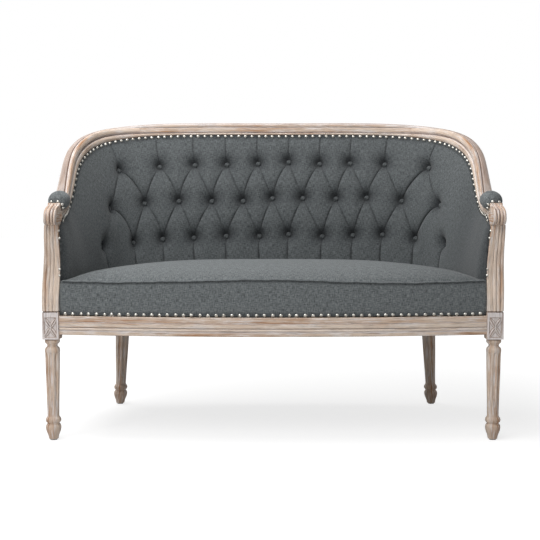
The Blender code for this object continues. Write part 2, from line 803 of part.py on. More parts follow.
def corner_blocks():
    """Glued blocks in the front corners, and braces behind the rear leg blocks."""
    back = front_face_y(BLOCK_INNER) + FRONT_RAIL_THICKNESS + SEAM
    inner = base_point(POST_REACH, RAIL_INNER + EASE)[0]
    flank = BLOCK_BACK + SEAM
    corner = BLOCK_INNER - SEAM
    outline = [(inner - CORNER_REACH, back), (corner, back), (corner, flank), (inner, flank),
               (inner, back + CORNER_REACH), (inner - CORNER_DROP, back + CORNER_REACH),
               (inner - CORNER_REACH, back + CORNER_DROP)]
    top = RAIL_TOP - CORNER_DROP
    rings = [[(x, y, z) for x, y in outline] for z in (top - CORNER_HEIGHT, top)]
    block = loft("corner_block_front_right", rings)
    add_part("corner_block_front_right", block, "hidden_wood")
    add_part("corner_block_front_left", mirrored("corner_block_front_left", block), "hidden_wood")

    near = RAIL_INNER + FRAME_EASE
    far = near + CORNER_THICKNESS
    low = -CORNER_DROP - CORNER_HEIGHT
    section = ((near, -CORNER_DROP), (far, -CORNER_DROP), (far, low), (near, low))
    rings = []
    for share in (-1.0, -0.55, 0.0, 0.55, 1.0):
        reach = REAR_REACH + share * CORNER_OVERLAP
        rings.append([base_point(reach, *place) for place in section])
    tool = placed(block_mesh("brace_tool", BLOCK_TOP, SEAM), rear_place(1.0))
    brace = combined("rear_brace", loft("rear_brace", rings), [("DIFFERENCE", tool)])
    add_part("corner_block_rear_right", brace, "hidden_wood")
    add_part("corner_block_rear_left", mirrored("corner_block_rear_left", brace), "hidden_wood")


def seat_brace():
    """Stretcher from the front rail to the rear rail under the webbing."""
    half = BRACE_WIDTH / 2.0
    front = front_face_y(0.0) + FRONT_RAIL_THICKNESS + EASE
    back = base_point(0.0, RAIL_INNER + EASE)[1]
    top = RAIL_TOP - BRACE_DROP
    low = (-half, front, top - BRACE_HEIGHT)
    add_part("seat_brace", box_mesh("seat_brace", low, (half, back, top)), "hidden_wood")


# The inner frame and outer covers of the wall

def wall_ring(reach, outer, inner, low_share=0.0, high_share=1.0, flare=0.0):
    """Four corners of a flat member of the wall, given by its insets and its height shares."""
    ring = []
    for inset, share in ((outer, low_share), (inner, low_share), (inner, high_share), (outer, high_share)):
        low = base_point(reach, inset, SEAM)
        high = rail_point(reach, inset - flare, -LEDGE_DROP - EASE)
        ring.append(low + (high - low) * share)
    return ring


def cover_ring(reach):
    """Section of an outside cover, flaring out to the full thickness of the rail above it."""
    flare = half_thickness(reach) - CAP_THICKNESS / 2.0
    return wall_ring(reach, -RAIL_PROUD, SHELL_THICKNESS - RAIL_PROUD, flare=flare)


def inner_frame():
    """Posts, stiles and tack rails that the covers are fixed to."""
    outer = SHELL_THICKNESS - RAIL_PROUD + FRAME_EASE
    inner = WALL_INNER - FRAME_EASE + EASE
    spread = (-POST_HALF_WIDTH, 0.0, POST_HALF_WIDTH)
    post = loft("back_post_right", [wall_ring(REAR_REACH + step, outer, inner) for step in spread])
    add_part("back_post_right", post, "hidden_wood")
    add_part("back_post_left", mirrored("back_post_left", post), "hidden_wood")
    stile = loft("back_stile_right", [wall_ring(STILE_REACH + step, outer, inner, STILE_LOW_SHARE)
                                      for step in spread])
    add_part("back_stile_right", stile, "hidden_wood")
    add_part("back_stile_left", mirrored("back_stile_left", stile), "hidden_wood")
    end = REAR_REACH - POST_HALF_WIDTH - 1.5 * EASE
    middle = [reach for reach in PLAN_REACHES if abs(reach) < end - EASE]
    stay = (outer, inner, STAY_LOW_SHARE, STAY_HIGH_SHARE)
    rings = [wall_ring(reach, *stay) for reach in (-end, *middle, end)]
    add_part("tack_rail_back", loft("tack_rail_back", rings), "hidden_wood")
    start = REAR_REACH + POST_HALF_WIDTH + 1.5 * EASE
    side = [start] + [reach for reach in PLAN_REACHES if reach > start + EASE]
    rail = loft("tack_rail_right", [wall_ring(reach, *stay) for reach in side])
    add_part("tack_rail_right", rail, "hidden_wood")
    add_part("tack_rail_left", mirrored("tack_rail_left", rail), "hidden_wood")


def outside_covers():
    """Flat covers on the outside of the back and arms."""
    back = columns_between(-LAST_TUFT_COLUMN, LAST_TUFT_COLUMN, coarse=True)
    mesh = loft("outside_back", [cover_ring(reach) for reach in back])
    add_part("outside_back", mesh, "cloth")
    arm = columns_between(LAST_TUFT_COLUMN, LAST_COLUMN)
    mesh = loft("outside_arm_right", [cover_ring(reach) for reach in arm])
    add_part("outside_arm_right", mesh, "cloth")
    add_part("outside_arm_left", mirrored("outside_arm_left", mesh), "cloth")


# The tufted inside of the wall

DECK_RISE = WEB_THICKNESS + 2.0 * SEAM


def pad_fullness(reach, share):
    """Padding thickness before tufting: full at the seat, rolling over to a thin tacked edge."""
    full = PAD_FULL * np.interp(abs(reach) / HALF_REACH, PAD_REACH_SHARES, PAD_FULL_SHARES)
    climb = max(0.0, (share - PAD_SEAT_SHARE) / (1.0 - PAD_SEAT_SHARE))
    return PAD_EDGE + (full - PAD_EDGE) * (1.0 - climb ** 2.2)


def tufts():
    """Buttons as (step, share), rows offset by one step from each other."""
    places = []
    for last, share in zip(LAST_BUTTON_STEPS, ROW_SHARES):
        for step in range(-last, last + 1, 2):
            places.append((step, share))
    return places


def pleats():
    """Folds from button to button, and straight up and down from the outer rows."""
    folds = []
    places = tufts()
    for step, share in places:
        for other, next_share in places:
            if next_share > share and abs(other - step) == 1 and next_share - share < 0.3:
                folds.append(((step, share), (other, next_share)))
        if share == ROW_SHARES[0]:
            folds.append(((step, share), (step, PAD_SEAT_SHARE)))
        if share == ROW_SHARES[-1]:
            folds.append(((step, share), (step, 1.0)))
    return folds


TUFTS = tufts()
PLEATS = pleats()


def flat_place(step, share):
    """A place on the tufted surface, rolled out flat."""
    return Vector((tuft_reach(step), share * (CREST_Z - RAIL_TOP)))


def tuft_depth(step, share):
    """How far the cloth is drawn in at a place by the nearest button and fold."""
    here = flat_place(step, share)
    button = min((here - flat_place(*place)).length for place in TUFTS)
    fold = math.inf
    for start, end in PLEATS:
        low = flat_place(*start)
        line = flat_place(*end) - low
        along = min(max((here - low).dot(line) / line.length_squared, 0.0), 1.0)
        fold = min(fold, (here - low - line * along).length)
    drawn = TUFT_DEPTH * math.exp(-((button / TUFT_SPREAD) ** 2))
    folded = PLEAT_DEPTH * math.exp(-((fold / PLEAT_SPREAD) ** 2)) * (1.0 - share ** 8)
    return max(drawn, folded)


def pad_back(reach, share, thickness):
    """A place on the padding, measured from the back of the pad."""
    low = base_point(reach, WALL_INNER + EASE + thickness, DECK_RISE)
    inset = half_thickness(reach) - LEDGE_SET + EASE + thickness
    high = rail_point(reach, inset, -BEAD_DROP - EASE)
    return low + (high - low) * share


def pad_head(reach):
    """Back of the pad at its top edge, under the bead of the rail."""
    return pad_back(reach, 1.0, 0.0)


def pad_ledge(reach):
    """Back of the pad where it passes the foot of the rail."""
    return rail_point(reach, half_thickness(reach) - LEDGE_SET + EASE, -LEDGE_DROP - EASE)


def pad_foot(reach):
    """Back of the pad on the webbing."""
    return pad_back(reach, 0.0, 0.0)


def pad_rows():
    """Heights of the rows of the tufted surface: quarters between buttons, closer rows outside."""
    rows = list(FOOT_ROW_SHARES)
    for low, high in zip(ROW_SHARES, ROW_SHARES[1:]):
        rows.extend(low + (high - low) * quarter / 4.0 for quarter in range(4))
    return rows + [ROW_SHARES[-1]] + list(TOP_ROW_SHARES)


def row_steps(index, share):
    """Tuft steps of one row's points; rows between buttons are staggered by a quarter step."""
    steps = [-step for step in STEPS[:0:-1]] + STEPS
    inside = ROW_SHARES[0] < share < ROW_SHARES[-1]
    if inside and (index - len(FOOT_ROW_SHARES)) % 2:
        middles = [(step + following) / 2.0 for step, following in zip(steps, steps[1:])]
        return [steps[0]] + middles + [steps[-1]]
    return steps


PAD_JOINT = column_reach(LAST_TUFT_COLUMN)


def on_joint(point, reach, away):
    """Move a point of the padding into the flat joint between inside back and inside arm."""
    low = pad_foot(reach)
    high = pad_head(reach)
    inward = unit(rail_frame(reach)[1] + base_frame(reach)[1])
    across = unit(np.cross(inward, high - low))
    outward = across if np.dot(across, RAIL_LINE(reach + NUDGE) - RAIL_LINE(reach)) > 0.0 else -across
    return point - outward * (np.dot(point - low, outward) - away)


def buttons_mesh():
    """Covered buttons, each seated in its tuft and facing into the seat."""
    def build(work):
        for step, share in TUFTS:
            reach = tuft_reach(step)
            fullness = pad_fullness(reach, share) - tuft_depth(step, share)
            place = Vector(pad_back(reach, share, fullness))
            inward = place - Vector(pad_back(reach, share, 0.0))
            turn = inward.to_track_quat("Z", "Y").to_matrix().to_4x4()
            centre = place + inward.normalized() * (BUTTON_RISE - BUTTON_ROOT) / 2.0
            bmesh.ops.create_cone(work, cap_ends=True, segments=BUTTON_SIDES, radius1=BUTTON_RADIUS,
                                  radius2=BUTTON_RADIUS * BUTTON_CROWN_SHARE, depth=BUTTON_RISE + BUTTON_ROOT,
                                  matrix=Matrix.Translation(centre) @ turn)

    return mesh_from("buttons", build)


def inside_back():
    """Deep-buttoned inside back, its folds lying on the edges of a staggered net."""
    def build(work):
        front = []
        for index, share in enumerate(pad_rows()):
            row = []
            for step in row_steps(index, share):
                reach = tuft_reach(step)
                drawn = tuft_depth(step, share) if share >= PAD_SEAT_SHARE else 0.0
                point = pad_back(reach, share, pad_fullness(reach, share) - drawn)
                if abs(step) == TUFT_STEPS:
                    point = on_joint(point, reach, math.copysign(EASE / 2.0, -step))
                row.append((step, work.verts.new(point)))
            front.append(row)
        columns = range(-LAST_TUFT_COLUMN, LAST_TUFT_COLUMN + 1)
        steps = [step for column, step in zip(columns, row_steps(0, 0.0))
                 if column % 2 == 0 or abs(column) == LAST_TUFT_COLUMN]
        backs = []
        for place in (pad_head, pad_ledge, pad_foot):
            row = []
            for step in steps:
                point = place(tuft_reach(step))
                if abs(step) == TUFT_STEPS:
                    point = on_joint(point, tuft_reach(step), math.copysign(EASE / 2.0, -step))
                row.append((step, work.verts.new(point)))
            backs.append(row)
        rows = front + backs + [front[0]]
        for row, following in zip(rows, rows[1:]):
            stitch(work, row, following)
        for end in (0, -1):
            work.faces.new([row[end][1] for row in front + backs])

    mesh = mesh_from("inside_back", build)
    add_part("inside_back", combined("inside_back", mesh, [("UNION", buttons_mesh())]), "cloth")


def inside_arms():
    """Plain padded insides of the wings and arms, wrapping in beside the arm posts."""
    shares = (0.0, 0.25, 0.5, 0.7, 0.85, 0.95, 1.0)
    rings = []
    columns = columns_between(LAST_TUFT_COLUMN, LAST_COLUMN)
    for reach in columns:
        ring = [pad_head(reach), pad_ledge(reach), pad_foot(reach)]
        ring.extend(pad_back(reach, share, pad_fullness(reach, share)) for share in shares)
        rings.append(ring)
    rings[0] = [on_joint(point, PAD_JOINT, EASE / 2.0) for point in rings[0]]
    post_inner = LEG_X - POST_THICKNESS / 2.0 - EASE - (LEG_X - RAIL_LINE(HALF_REACH)[0]) / 2.0
    top = KNUCKLE_BOTTOM - EASE
    for step in (EASE, BLOCK_SIDE / 3.0, BLOCK_SIDE * 2.0 / 3.0):
        reach = POST_REACH + step
        low = pad_foot(reach)
        high = pad_head(reach)
        limit = (top - low[2]) / (high[2] - low[2])
        ring = [(post_inner, high[1], top), (post_inner, high[1], (top + low[2]) / 2.0)]
        ring.append((post_inner, low[1], low[2]))
        ring.extend(pad_back(reach, share * limit, pad_fullness(reach, share)) for share in shares)
        rings.append(ring)
    arm = loft("inside_arm_right", rings)
    add_part("inside_arm_right", arm, "cloth")
    add_part("inside_arm_left", mirrored("inside_arm_left", arm), "cloth")


# The seat

def seat_outline(z):
    """Plan of the seat at one height: inside the padding at the sides and back, bowed in front."""
    columns = [column_reach(c) for c in range(-LAST_COLUMN, LAST_COLUMN + 1)][::2]
    front = POST_REACH + BLOCK_SIDE * 2.0 / 3.0
    points = []
    for reach in (-front, *columns, front):
        low = pad_foot(reach)
        share = (z - low[2]) / (pad_head(reach)[2] - low[2])
        points.append(pad_back(reach, share, pad_fullness(reach, 0.0) + EASE))
    corner = BLOCK_INNER - 3.0 * EASE
    nook = LEG_Y - BLOCK_SIDE * 0.3
    points.append(np.array((corner, nook, z)))
    for step in range(FRONT_STEPS + 1):
        x = corner * (1.0 - 2.0 * step / FRONT_STEPS)
        points.append(np.array((x, front_face_y(x) + SEAT_SETBACK, z)))
    points.append(np.array((-corner, nook, z)))
    return points


def seat_ring(z, scale, crown):
    """Outline at one height, drawn towards the middle and lifted by the crown."""
    middle = np.array((0.0, SEAT_CENTRE_Y, 0.0))
    ring = []
    for point in seat_outline(z):
        flat = middle + (point - middle) * scale
        flat[2] = z + crown
        ring.append(flat)
    return ring


def seat():
    """Tight seat: drawn-in band, a groove for the piping and a crowned top."""
    floor = RAIL_TOP + DECK_RISE
    sink = SEAT_DRAW / BLOCK_INNER
    rings = [
        seat_ring(floor, 1.0 - sink, 0.0),
        seat_ring(floor + (SEAT_EDGE_Z - floor) * 0.45, 1.0, 0.0),
        seat_ring(SEAT_EDGE_Z - 2.0 * PIPING_RADIUS, 1.0 - sink, 0.0),
        seat_ring(SEAT_EDGE_Z, 1.0 - 2.5 * sink, 0.0),
        seat_ring(SEAT_EDGE_Z, 1.0 - 3.0 * sink, 2.0 * PIPING_RADIUS),
    ]
    for scale in (0.93, 0.82, 0.66, 0.45, 0.20):
        rings.append(seat_ring(SEAT_EDGE_Z, scale, 2.0 * PIPING_RADIUS + SEAT_CROWN * (1.0 - scale ** 2.4)))
    add_part("seat_cushion", loft("seat_cushion", rings), "cloth")


def tube(name, points, radius, look):
    """A round cord through the points, with its ends closed."""
    curve = bpy.data.curves.new(name, "CURVE")
    curve.dimensions = "3D"
    curve.bevel_depth = radius
    curve.bevel_resolution = 1
    curve.use_fill_caps = True
    line = curve.splines.new("POLY")
    line.points.add(len(points) - 1)
    for target, point in zip(line.points, points):
        target.co = (*point, 1.0)
    piece = bpy.data.objects.new(name, curve)
    curve.materials.append(finish(name + "_" + look, *LOOKS[look]))
    PARTS.objects.link(piece)
    return piece


def piping():
    """Covered cord along the front edge of the seat."""
    sink = SEAT_DRAW / BLOCK_INNER
    ring = seat_ring(SEAT_EDGE_Z, 1.0 - 2.5 * sink, 0.0)
    away = PIPING_RADIUS + SEAM
    points = [(x, y - away, z) for x, y, z in ring[-FRONT_STEPS - 2:-1]]
    tube("seat_piping", points, PIPING_RADIUS, "cloth")


def webbing():
    """Woven straps crossing on top of the seat rails, as one net."""
    def pattern(count, low, high):
        pitch = (high - low - WEB_WIDTH) / (count - 1)
        marks = []
        for number in range(count):
            marks.extend((low + number * pitch, low + number * pitch + WEB_WIDTH))
        return marks

    span = BLOCK_INNER - CORNER_REACH
    across = pattern(WEB_LENGTHWISE, -span, span)
    depth = base_point(0.0, RAIL_INNER)[1] - front_face_y(0.0)
    shares = [mark / depth for mark in pattern(WEB_CROSSWISE, 0.0, depth)]

    def back_y(x):
        near = 0.0
        far = HALF_REACH / 2.0
        for _ in range(30):
            middle = (near + far) / 2.0
            if base_point(middle, WALL_INNER + EASE)[0] < abs(x):
                near = middle
            else:
                far = middle
        return base_point(near, RAIL_INNER - WEB_BEARING)[1]

    def build(work):
        bottom = RAIL_TOP + SEAM
        grids = []
        for z in (bottom, bottom + WEB_THICKNESS):
            grid = []
            for x in across:
                low = front_face_y(x) + FRONT_RAIL_THICKNESS - WEB_BEARING
                high = back_y(x)
                marks = [low + (high - low) * share for share in shares]
                grid.append([work.verts.new((x, y, z)) for y in marks])
            grids.append(grid)
        last_x = len(across) - 1
        last_y = len(shares) - 1

        def solid(i, j):
            return 0 <= i < last_x and 0 <= j < last_y and not (i % 2 and j % 2)

        for i in range(last_x):
            for j in range(last_y):
                if not solid(i, j):
                    continue
                corners = ((i, j), (i + 1, j), (i + 1, j + 1), (i, j + 1))
                for grid in grids:
                    work.faces.new([grid[a][b] for a, b in corners])
                sides = ((0, 1, i, j - 1), (1, 2, i + 1, j), (2, 3, i, j + 1), (3, 0, i - 1, j))
                for start, end, other_i, other_j in sides:
                    if not solid(other_i, other_j):
                        a = corners[start]
                        b = corners[end]
                        work.faces.new((grids[0][a[0]][a[1]], grids[0][b[0]][b[1]],
                                        grids[1][b[0]][b[1]], grids[1][a[0]][a[1]]))

    add_part("seat_webbing", mesh_from("seat_webbing", build), "webbing")


def dust_cover():
    """Thin lining tacked under the seat rails, cut round the leg blocks."""
    top = RAIL_TOP - RAIL_HEIGHT - SEAM
    flank = BLOCK_BACK + EASE
    side = []
    for number in range(-LAST_COLUMN, LAST_COLUMN + 1, 2):
        reach = column_reach(number)
        beside = abs(abs(reach) - REAR_REACH) < BLOCK_SIDE * 1.5
        inset = RAIL_INNER + BLOCK_SIDE / 6.0 if beside else WALL_INNER
        side.append(base_point(reach, inset))
    outline = [(point[0], point[1]) for point in side]
    corner = BLOCK_INNER - EASE
    steps = 14
    outline.append((outline[-1][0], flank))
    outline.append((corner, flank))
    for step in range(steps + 1):
        x = corner * (1.0 - 2.0 * step / steps)
        outline.append((x, front_face_y(x) + FRONT_RAIL_THICKNESS / 2.0))
    outline.append((-corner, flank))
    outline.append((outline[0][0], flank))
    rings = [[(x, y, z) for x, y in outline] for z in (top - COVER_THICKNESS, top)]
    add_part("dust_cover", loft("dust_cover", rings), "lining")


def arm_pads():
    """Padded tops of the arms, domed and rounded at both ends."""
    start = column_reach(WING_JOINT_COLUMN) + 3.0 * EASE
    end = POST_REACH - EASE
    inner = [column_reach(c) for c in range(WING_JOINT_COLUMN + 1, LAST_COLUMN)]
    places = [start, start + ARM_PAD_ROUND * 0.15, *inner, end - ARM_PAD_ROUND * 0.15, end]
    floor = PAD_SEAT_HEIGHT + EASE
    rings = []
    for reach in sorted(places):
        near = min(reach - start, end - reach, ARM_PAD_ROUND) / ARM_PAD_ROUND
        fullness = 0.45 + 0.55 * (1.0 - (1.0 - near) ** 2.5) ** 0.5
        half = ARM_PAD_HALF_WIDTH * (0.6 + 0.4 * fullness)
        height = ARM_PAD_HEIGHT * fullness
        ring = []
        for turn in range(9):
            angle = math.pi * turn / 8.0
            across = half * math.copysign(abs(math.cos(angle)) ** 0.7, math.cos(angle))
            ring.append(rail_point(reach, across, floor + height * math.sin(angle) ** 0.7))
        rings.append(ring)
    pad = loft("arm_pad_right", rings)
    add_part("arm_pad_right", pad, "cloth")
    add_part("arm_pad_left", mirrored("arm_pad_left", pad), "cloth")


# Run of the pieces

crest_and_wings()
arms()
arm_posts()
seat_rails()
legs()
glides()
corner_blocks()
seat_brace()
inner_frame()
outside_covers()
inside_back()
inside_arms()
webbing()
seat()
piping()
dust_cover()
arm_pads()
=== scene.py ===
# %% [markdown]
# # A barrel-back loveseat with a deep-buttoned back
#
# The seat has a limed oak frame, a grey linen cover and bright nail heads. Its back and arms are one
# padded wall that bends round the seat, and a moulded rail caps the wall from arm to arm. The CAD model
# fixes every size, so it is loaded first, and each finer piece is laid where its CAD piece stands.

# %% Load the CAD frame
import math

import bmesh
import bpy
import numpy as np
from mathutils import Matrix, Vector


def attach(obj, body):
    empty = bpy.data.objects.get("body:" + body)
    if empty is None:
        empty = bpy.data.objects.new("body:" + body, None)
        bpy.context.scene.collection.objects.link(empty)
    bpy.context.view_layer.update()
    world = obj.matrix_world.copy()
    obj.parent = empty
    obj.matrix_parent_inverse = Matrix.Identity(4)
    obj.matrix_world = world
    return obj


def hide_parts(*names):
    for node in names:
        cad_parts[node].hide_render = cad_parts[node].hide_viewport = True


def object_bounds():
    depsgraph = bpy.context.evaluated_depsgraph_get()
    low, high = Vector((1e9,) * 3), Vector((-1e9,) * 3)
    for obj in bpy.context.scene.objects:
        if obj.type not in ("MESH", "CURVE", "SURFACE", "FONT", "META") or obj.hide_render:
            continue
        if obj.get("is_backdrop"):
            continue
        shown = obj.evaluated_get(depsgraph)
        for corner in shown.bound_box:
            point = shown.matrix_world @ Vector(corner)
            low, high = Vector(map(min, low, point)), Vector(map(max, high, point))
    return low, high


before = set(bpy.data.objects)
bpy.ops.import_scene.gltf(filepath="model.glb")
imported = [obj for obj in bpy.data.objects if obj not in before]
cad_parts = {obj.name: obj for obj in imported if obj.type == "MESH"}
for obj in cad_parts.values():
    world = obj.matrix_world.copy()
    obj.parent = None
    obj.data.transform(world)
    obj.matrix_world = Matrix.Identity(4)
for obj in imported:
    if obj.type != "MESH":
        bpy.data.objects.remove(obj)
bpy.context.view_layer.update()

# %% [markdown]
# ## Helpers for numbers and meshes
#
# Rails, posts, pads and covers are all skins: one section carried along a line. Each could be drawn with a
# curve and a bevel object, but the sections change along the way. So a flat grid is made with one operator
# and its points are moved into rows of sections. The grid also gives a UV map for free, with U along the
# piece and V round it, both in metres, and the wood grain and the weave follow that map.

# %% Rules for numbers and lines
def share_of(value, low, high):
    """How far a value lies from low to high, kept between 0 and 1."""
    return np.clip((value - low) / (high - low), 0.0, 1.0)


def soft_share(value, low, high):
    """The same share with a soft start and a soft end."""
    share = share_of(value, low, high)
    return share * share * (3.0 - 2.0 * share)


def bell(distance, width):
    """One at no distance, fading over the width."""
    return np.exp(-((distance / width) ** 2))


def block_of(*parts):
    """Places in rows, from coordinates of matching shapes."""
    return np.stack(np.broadcast_arrays(*parts), axis=-1)


def unit(vector):
    return vector / np.linalg.norm(vector, axis=-1, keepdims=True)


def travelled(line):
    """Distance along a line at each of its places."""
    return np.concatenate(((0.0,), np.cumsum(np.linalg.norm(np.diff(line, axis=0), axis=1))))


def eased(section, times=2):
    """Round a closed section by cutting its corners, each pass at a quarter of every side."""
    section = np.asarray(section, float)
    for _ in range(times):
        after = np.roll(section, -1, axis=0)
        section = np.stack((0.75 * section + 0.25 * after, 0.25 * section + 0.75 * after), axis=1)
        section = section.reshape(-1, section.shape[-1])
    return section


# %% Lay a grid over rows of places
def new_work():
    """An empty mesh that already has the two layers the finishes read."""
    work = bmesh.new()
    # one layer holds carving with painted shade or highlight, the other the grain
    work.verts.layers.float.new("carve")
    work.loops.layers.uv.new("grain")
    return work


def lengths(places, axis):
    """Mean distance travelled along one direction of a block of places."""
    steps = np.linalg.norm(np.diff(places, axis=axis), axis=2).mean(axis=1 - axis)
    return np.concatenate(((0.0,), np.cumsum(steps)))


def lay(work, places, carve=0.0, ring=False, caps=False, shift=0.0, flat=None):
    """Add a grid whose points are moved to places; a ring closes round, and caps close its ends."""
    carve = np.broadcast_to(carve, places.shape[:2])
    if ring:
        places, carve = [np.concatenate((part, part[:, :1]), axis=1) for part in (places, carve)]
    if flat is None:
        flat = block_of(lengths(places, 0)[:, None], lengths(places, 1)) + shift
    rows, columns = carve.shape
    made = bmesh.ops.create_grid(work, x_segments=columns - 1, y_segments=rows - 1, size=0.5)["verts"]
    carve_shading_layer = work.verts.layers.float["carve"]
    grain = work.loops.layers.uv["grain"]
    for vertex, point, depth, mark in zip(made, places.reshape(-1, 3), carve.reshape(-1), flat.reshape(-1, 2)):
        vertex.co = point
        vertex[carve_shading_layer] = depth
        for loop in vertex.link_loops:
            loop[grain].uv = mark
    if ring:
        bmesh.ops.remove_doubles(work, verts=made, dist=1e-6)
    if caps:
        edges = [edge for edge in work.edges if edge.is_boundary]
        for face in bmesh.ops.holes_fill(work, edges=edges, sides=0)["faces"]:
            for loop in face.loops:
                loop[grain].uv = (loop.vert.co.x + loop.vert.co.y, loop.vert.co.z)
    return made


def skin(places, **options):
    """One closed skin in a mesh of its own."""
    work = new_work()
    lay(work, places, ring=True, caps=True, **options)
    return work


# %% Finish a mesh and put it in the scene
SMOOTH_BELOW = math.radians(38.0)
ARM_SHIFT = 0.0053


def set_over(work):
    """Both arm fronts of the real seat stand some 5 mm to the right, growing with height."""
    y, z = np.array([vertex.co.yz for vertex in work.verts]).T
    rise = np.clip((z - 0.38) / 0.20, 0.0, 1.12)
    for vertex, shift in zip(work.verts, ARM_SHIFT * rise ** 1.3 * soft_share(-y, 0.02, 0.26)):
        vertex.co.x += shift


def show(name, work, finish, slot, *nodes):
    """Turn a filled bmesh into a piece with a finish, standing for the named CAD nodes."""
    if not name.startswith("outside"):
        set_over(work)
    bmesh.ops.recalc_face_normals(work, faces=work.faces)
    mesh = bpy.data.meshes.new(name)
    work.to_mesh(mesh)
    work.free()
    mesh.shade_smooth()
    mesh.set_sharp_from_angle(angle=SMOOTH_BELOW)
    mesh.materials.append(finish)
    piece = bpy.data.objects.new(name, mesh)
    bpy.context.scene.collection.objects.link(piece)
    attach(piece, "root")
    if nodes:
        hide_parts(*nodes)
    print(name, len(mesh.polygons), "faces")
    return piece


def pair(piece, node, work, finish, slot):
    """A piece on the right side and its mirror image on the left."""
    mirror = work.copy()
    bmesh.ops.scale(mirror, vec=(-1.0, 1.0, 1.0), verts=mirror.verts)
    for side, half in (("_right", work), ("_left", mirror)):
        made = show(piece + side, half, finish, slot, node + side)


# %% [markdown]
# ## Helpers for a finish
#
# A finish is a small node tree. The helpers below only save typing: they add a node, mix two colours, map
# a grey value to colours, or read the two layers that every skin carries. Colours are written as eight-bit
# paint values, as a colour chart gives them, and are turned into the linear light that the shader works in.

# %% Node helpers
def paint(red, green, blue):
    """A paint colour in eight-bit values as linear light."""
    channels = [value / 255.0 for value in (red, green, blue)]
    return (*[c / 12.92 if c < 0.04045 else ((c + 0.055) / 1.055) ** 2.4 for c in channels], 1.0)


def grey(level):
    return (level, level, level, 1.0)


def add(tree, kind, sockets=None, **settings):
    """Add a shader node, set its options, and set or link its sockets."""
    made = tree.nodes.new("ShaderNode" + kind)
    for key, value in settings.items():
        setattr(made, key, value)
    for key, value in (sockets or {}).items():
        if isinstance(value, bpy.types.NodeSocket):
            tree.links.new(value, made.inputs[key])
        else:
            made.inputs[key].default_value = value
    return made


def mixed(tree, share, first, second, how="MIX"):
    """Mix two colours by a share."""
    return add(tree, "Mix", {0: share, 6: first, 7: second}, data_type="RGBA", blend_type=how).outputs[2]


def ramp(tree, value, *stops):
    """Map a grey value to colours or greys through the given stops."""
    made = add(tree, "ValToRGB", {"Fac": value})
    places = made.color_ramp.elements
    while len(places) < len(stops):
        places.new(0.5)
    for place, (position, colour) in zip(places, stops):
        place.position = position
        place.color = colour if isinstance(colour, tuple) else grey(colour)
    return made.outputs["Color"]


def sums(tree, operation, first, second):
    return add(tree, "Math", {0: first, 1: second}, operation=operation).outputs[0]


def noise(tree, source, stretch, detail, rough):
    """Noise on a coordinate that is stretched first, so that its spots become streaks."""
    mapped = add(tree, "Mapping", {"Vector": source, "Scale": stretch}).outputs["Vector"]
    sockets = {"Vector": mapped, "Scale": 1.0, "Detail": detail, "Roughness": rough}
    return add(tree, "TexNoise", sockets).outputs["Fac"]


def grain_of(tree):
    return add(tree, "UVMap", uv_map="grain").outputs["UV"]


def carve_of(tree):
    return add(tree, "Attribute", attribute_name="carve", attribute_type="GEOMETRY").outputs["Fac"]


def weave_of(tree, place, sockets):
    """Raised threads along both directions of the cloth."""
    sockets = {"Vector": place, "Detail": 1.0, **sockets}
    waves = [add(tree, "TexWave", sockets, wave_type="BANDS", bands_direction=way) for way in "XY"]
    return sums(tree, "ADD", waves[0].outputs["Fac"], waves[1].outputs["Fac"])


def new_finish(name, rough, **others):
    """A material with its shader ready, and its tree."""
    finish = bpy.data.materials.new(name)
    finish.use_nodes = True
    shader = finish.node_tree.nodes["Principled BSDF"]
    shader.inputs["Roughness"].default_value = rough
    for key, value in others.items():
        shader.inputs[key.replace("_", " ")].default_value = value
    return finish, finish.node_tree, shader


def coat(tree, shader, colour, height, strength, distance):
    """Give the shader its colour, and a height as a bump."""
    bump = add(tree, "Bump", {"Height": height, "Strength": strength, "Distance": distance})
    tree.links.new(colour, shader.inputs["Base Color"])
    tree.links.new(bump.outputs["Normal"], shader.inputs["Normal"])
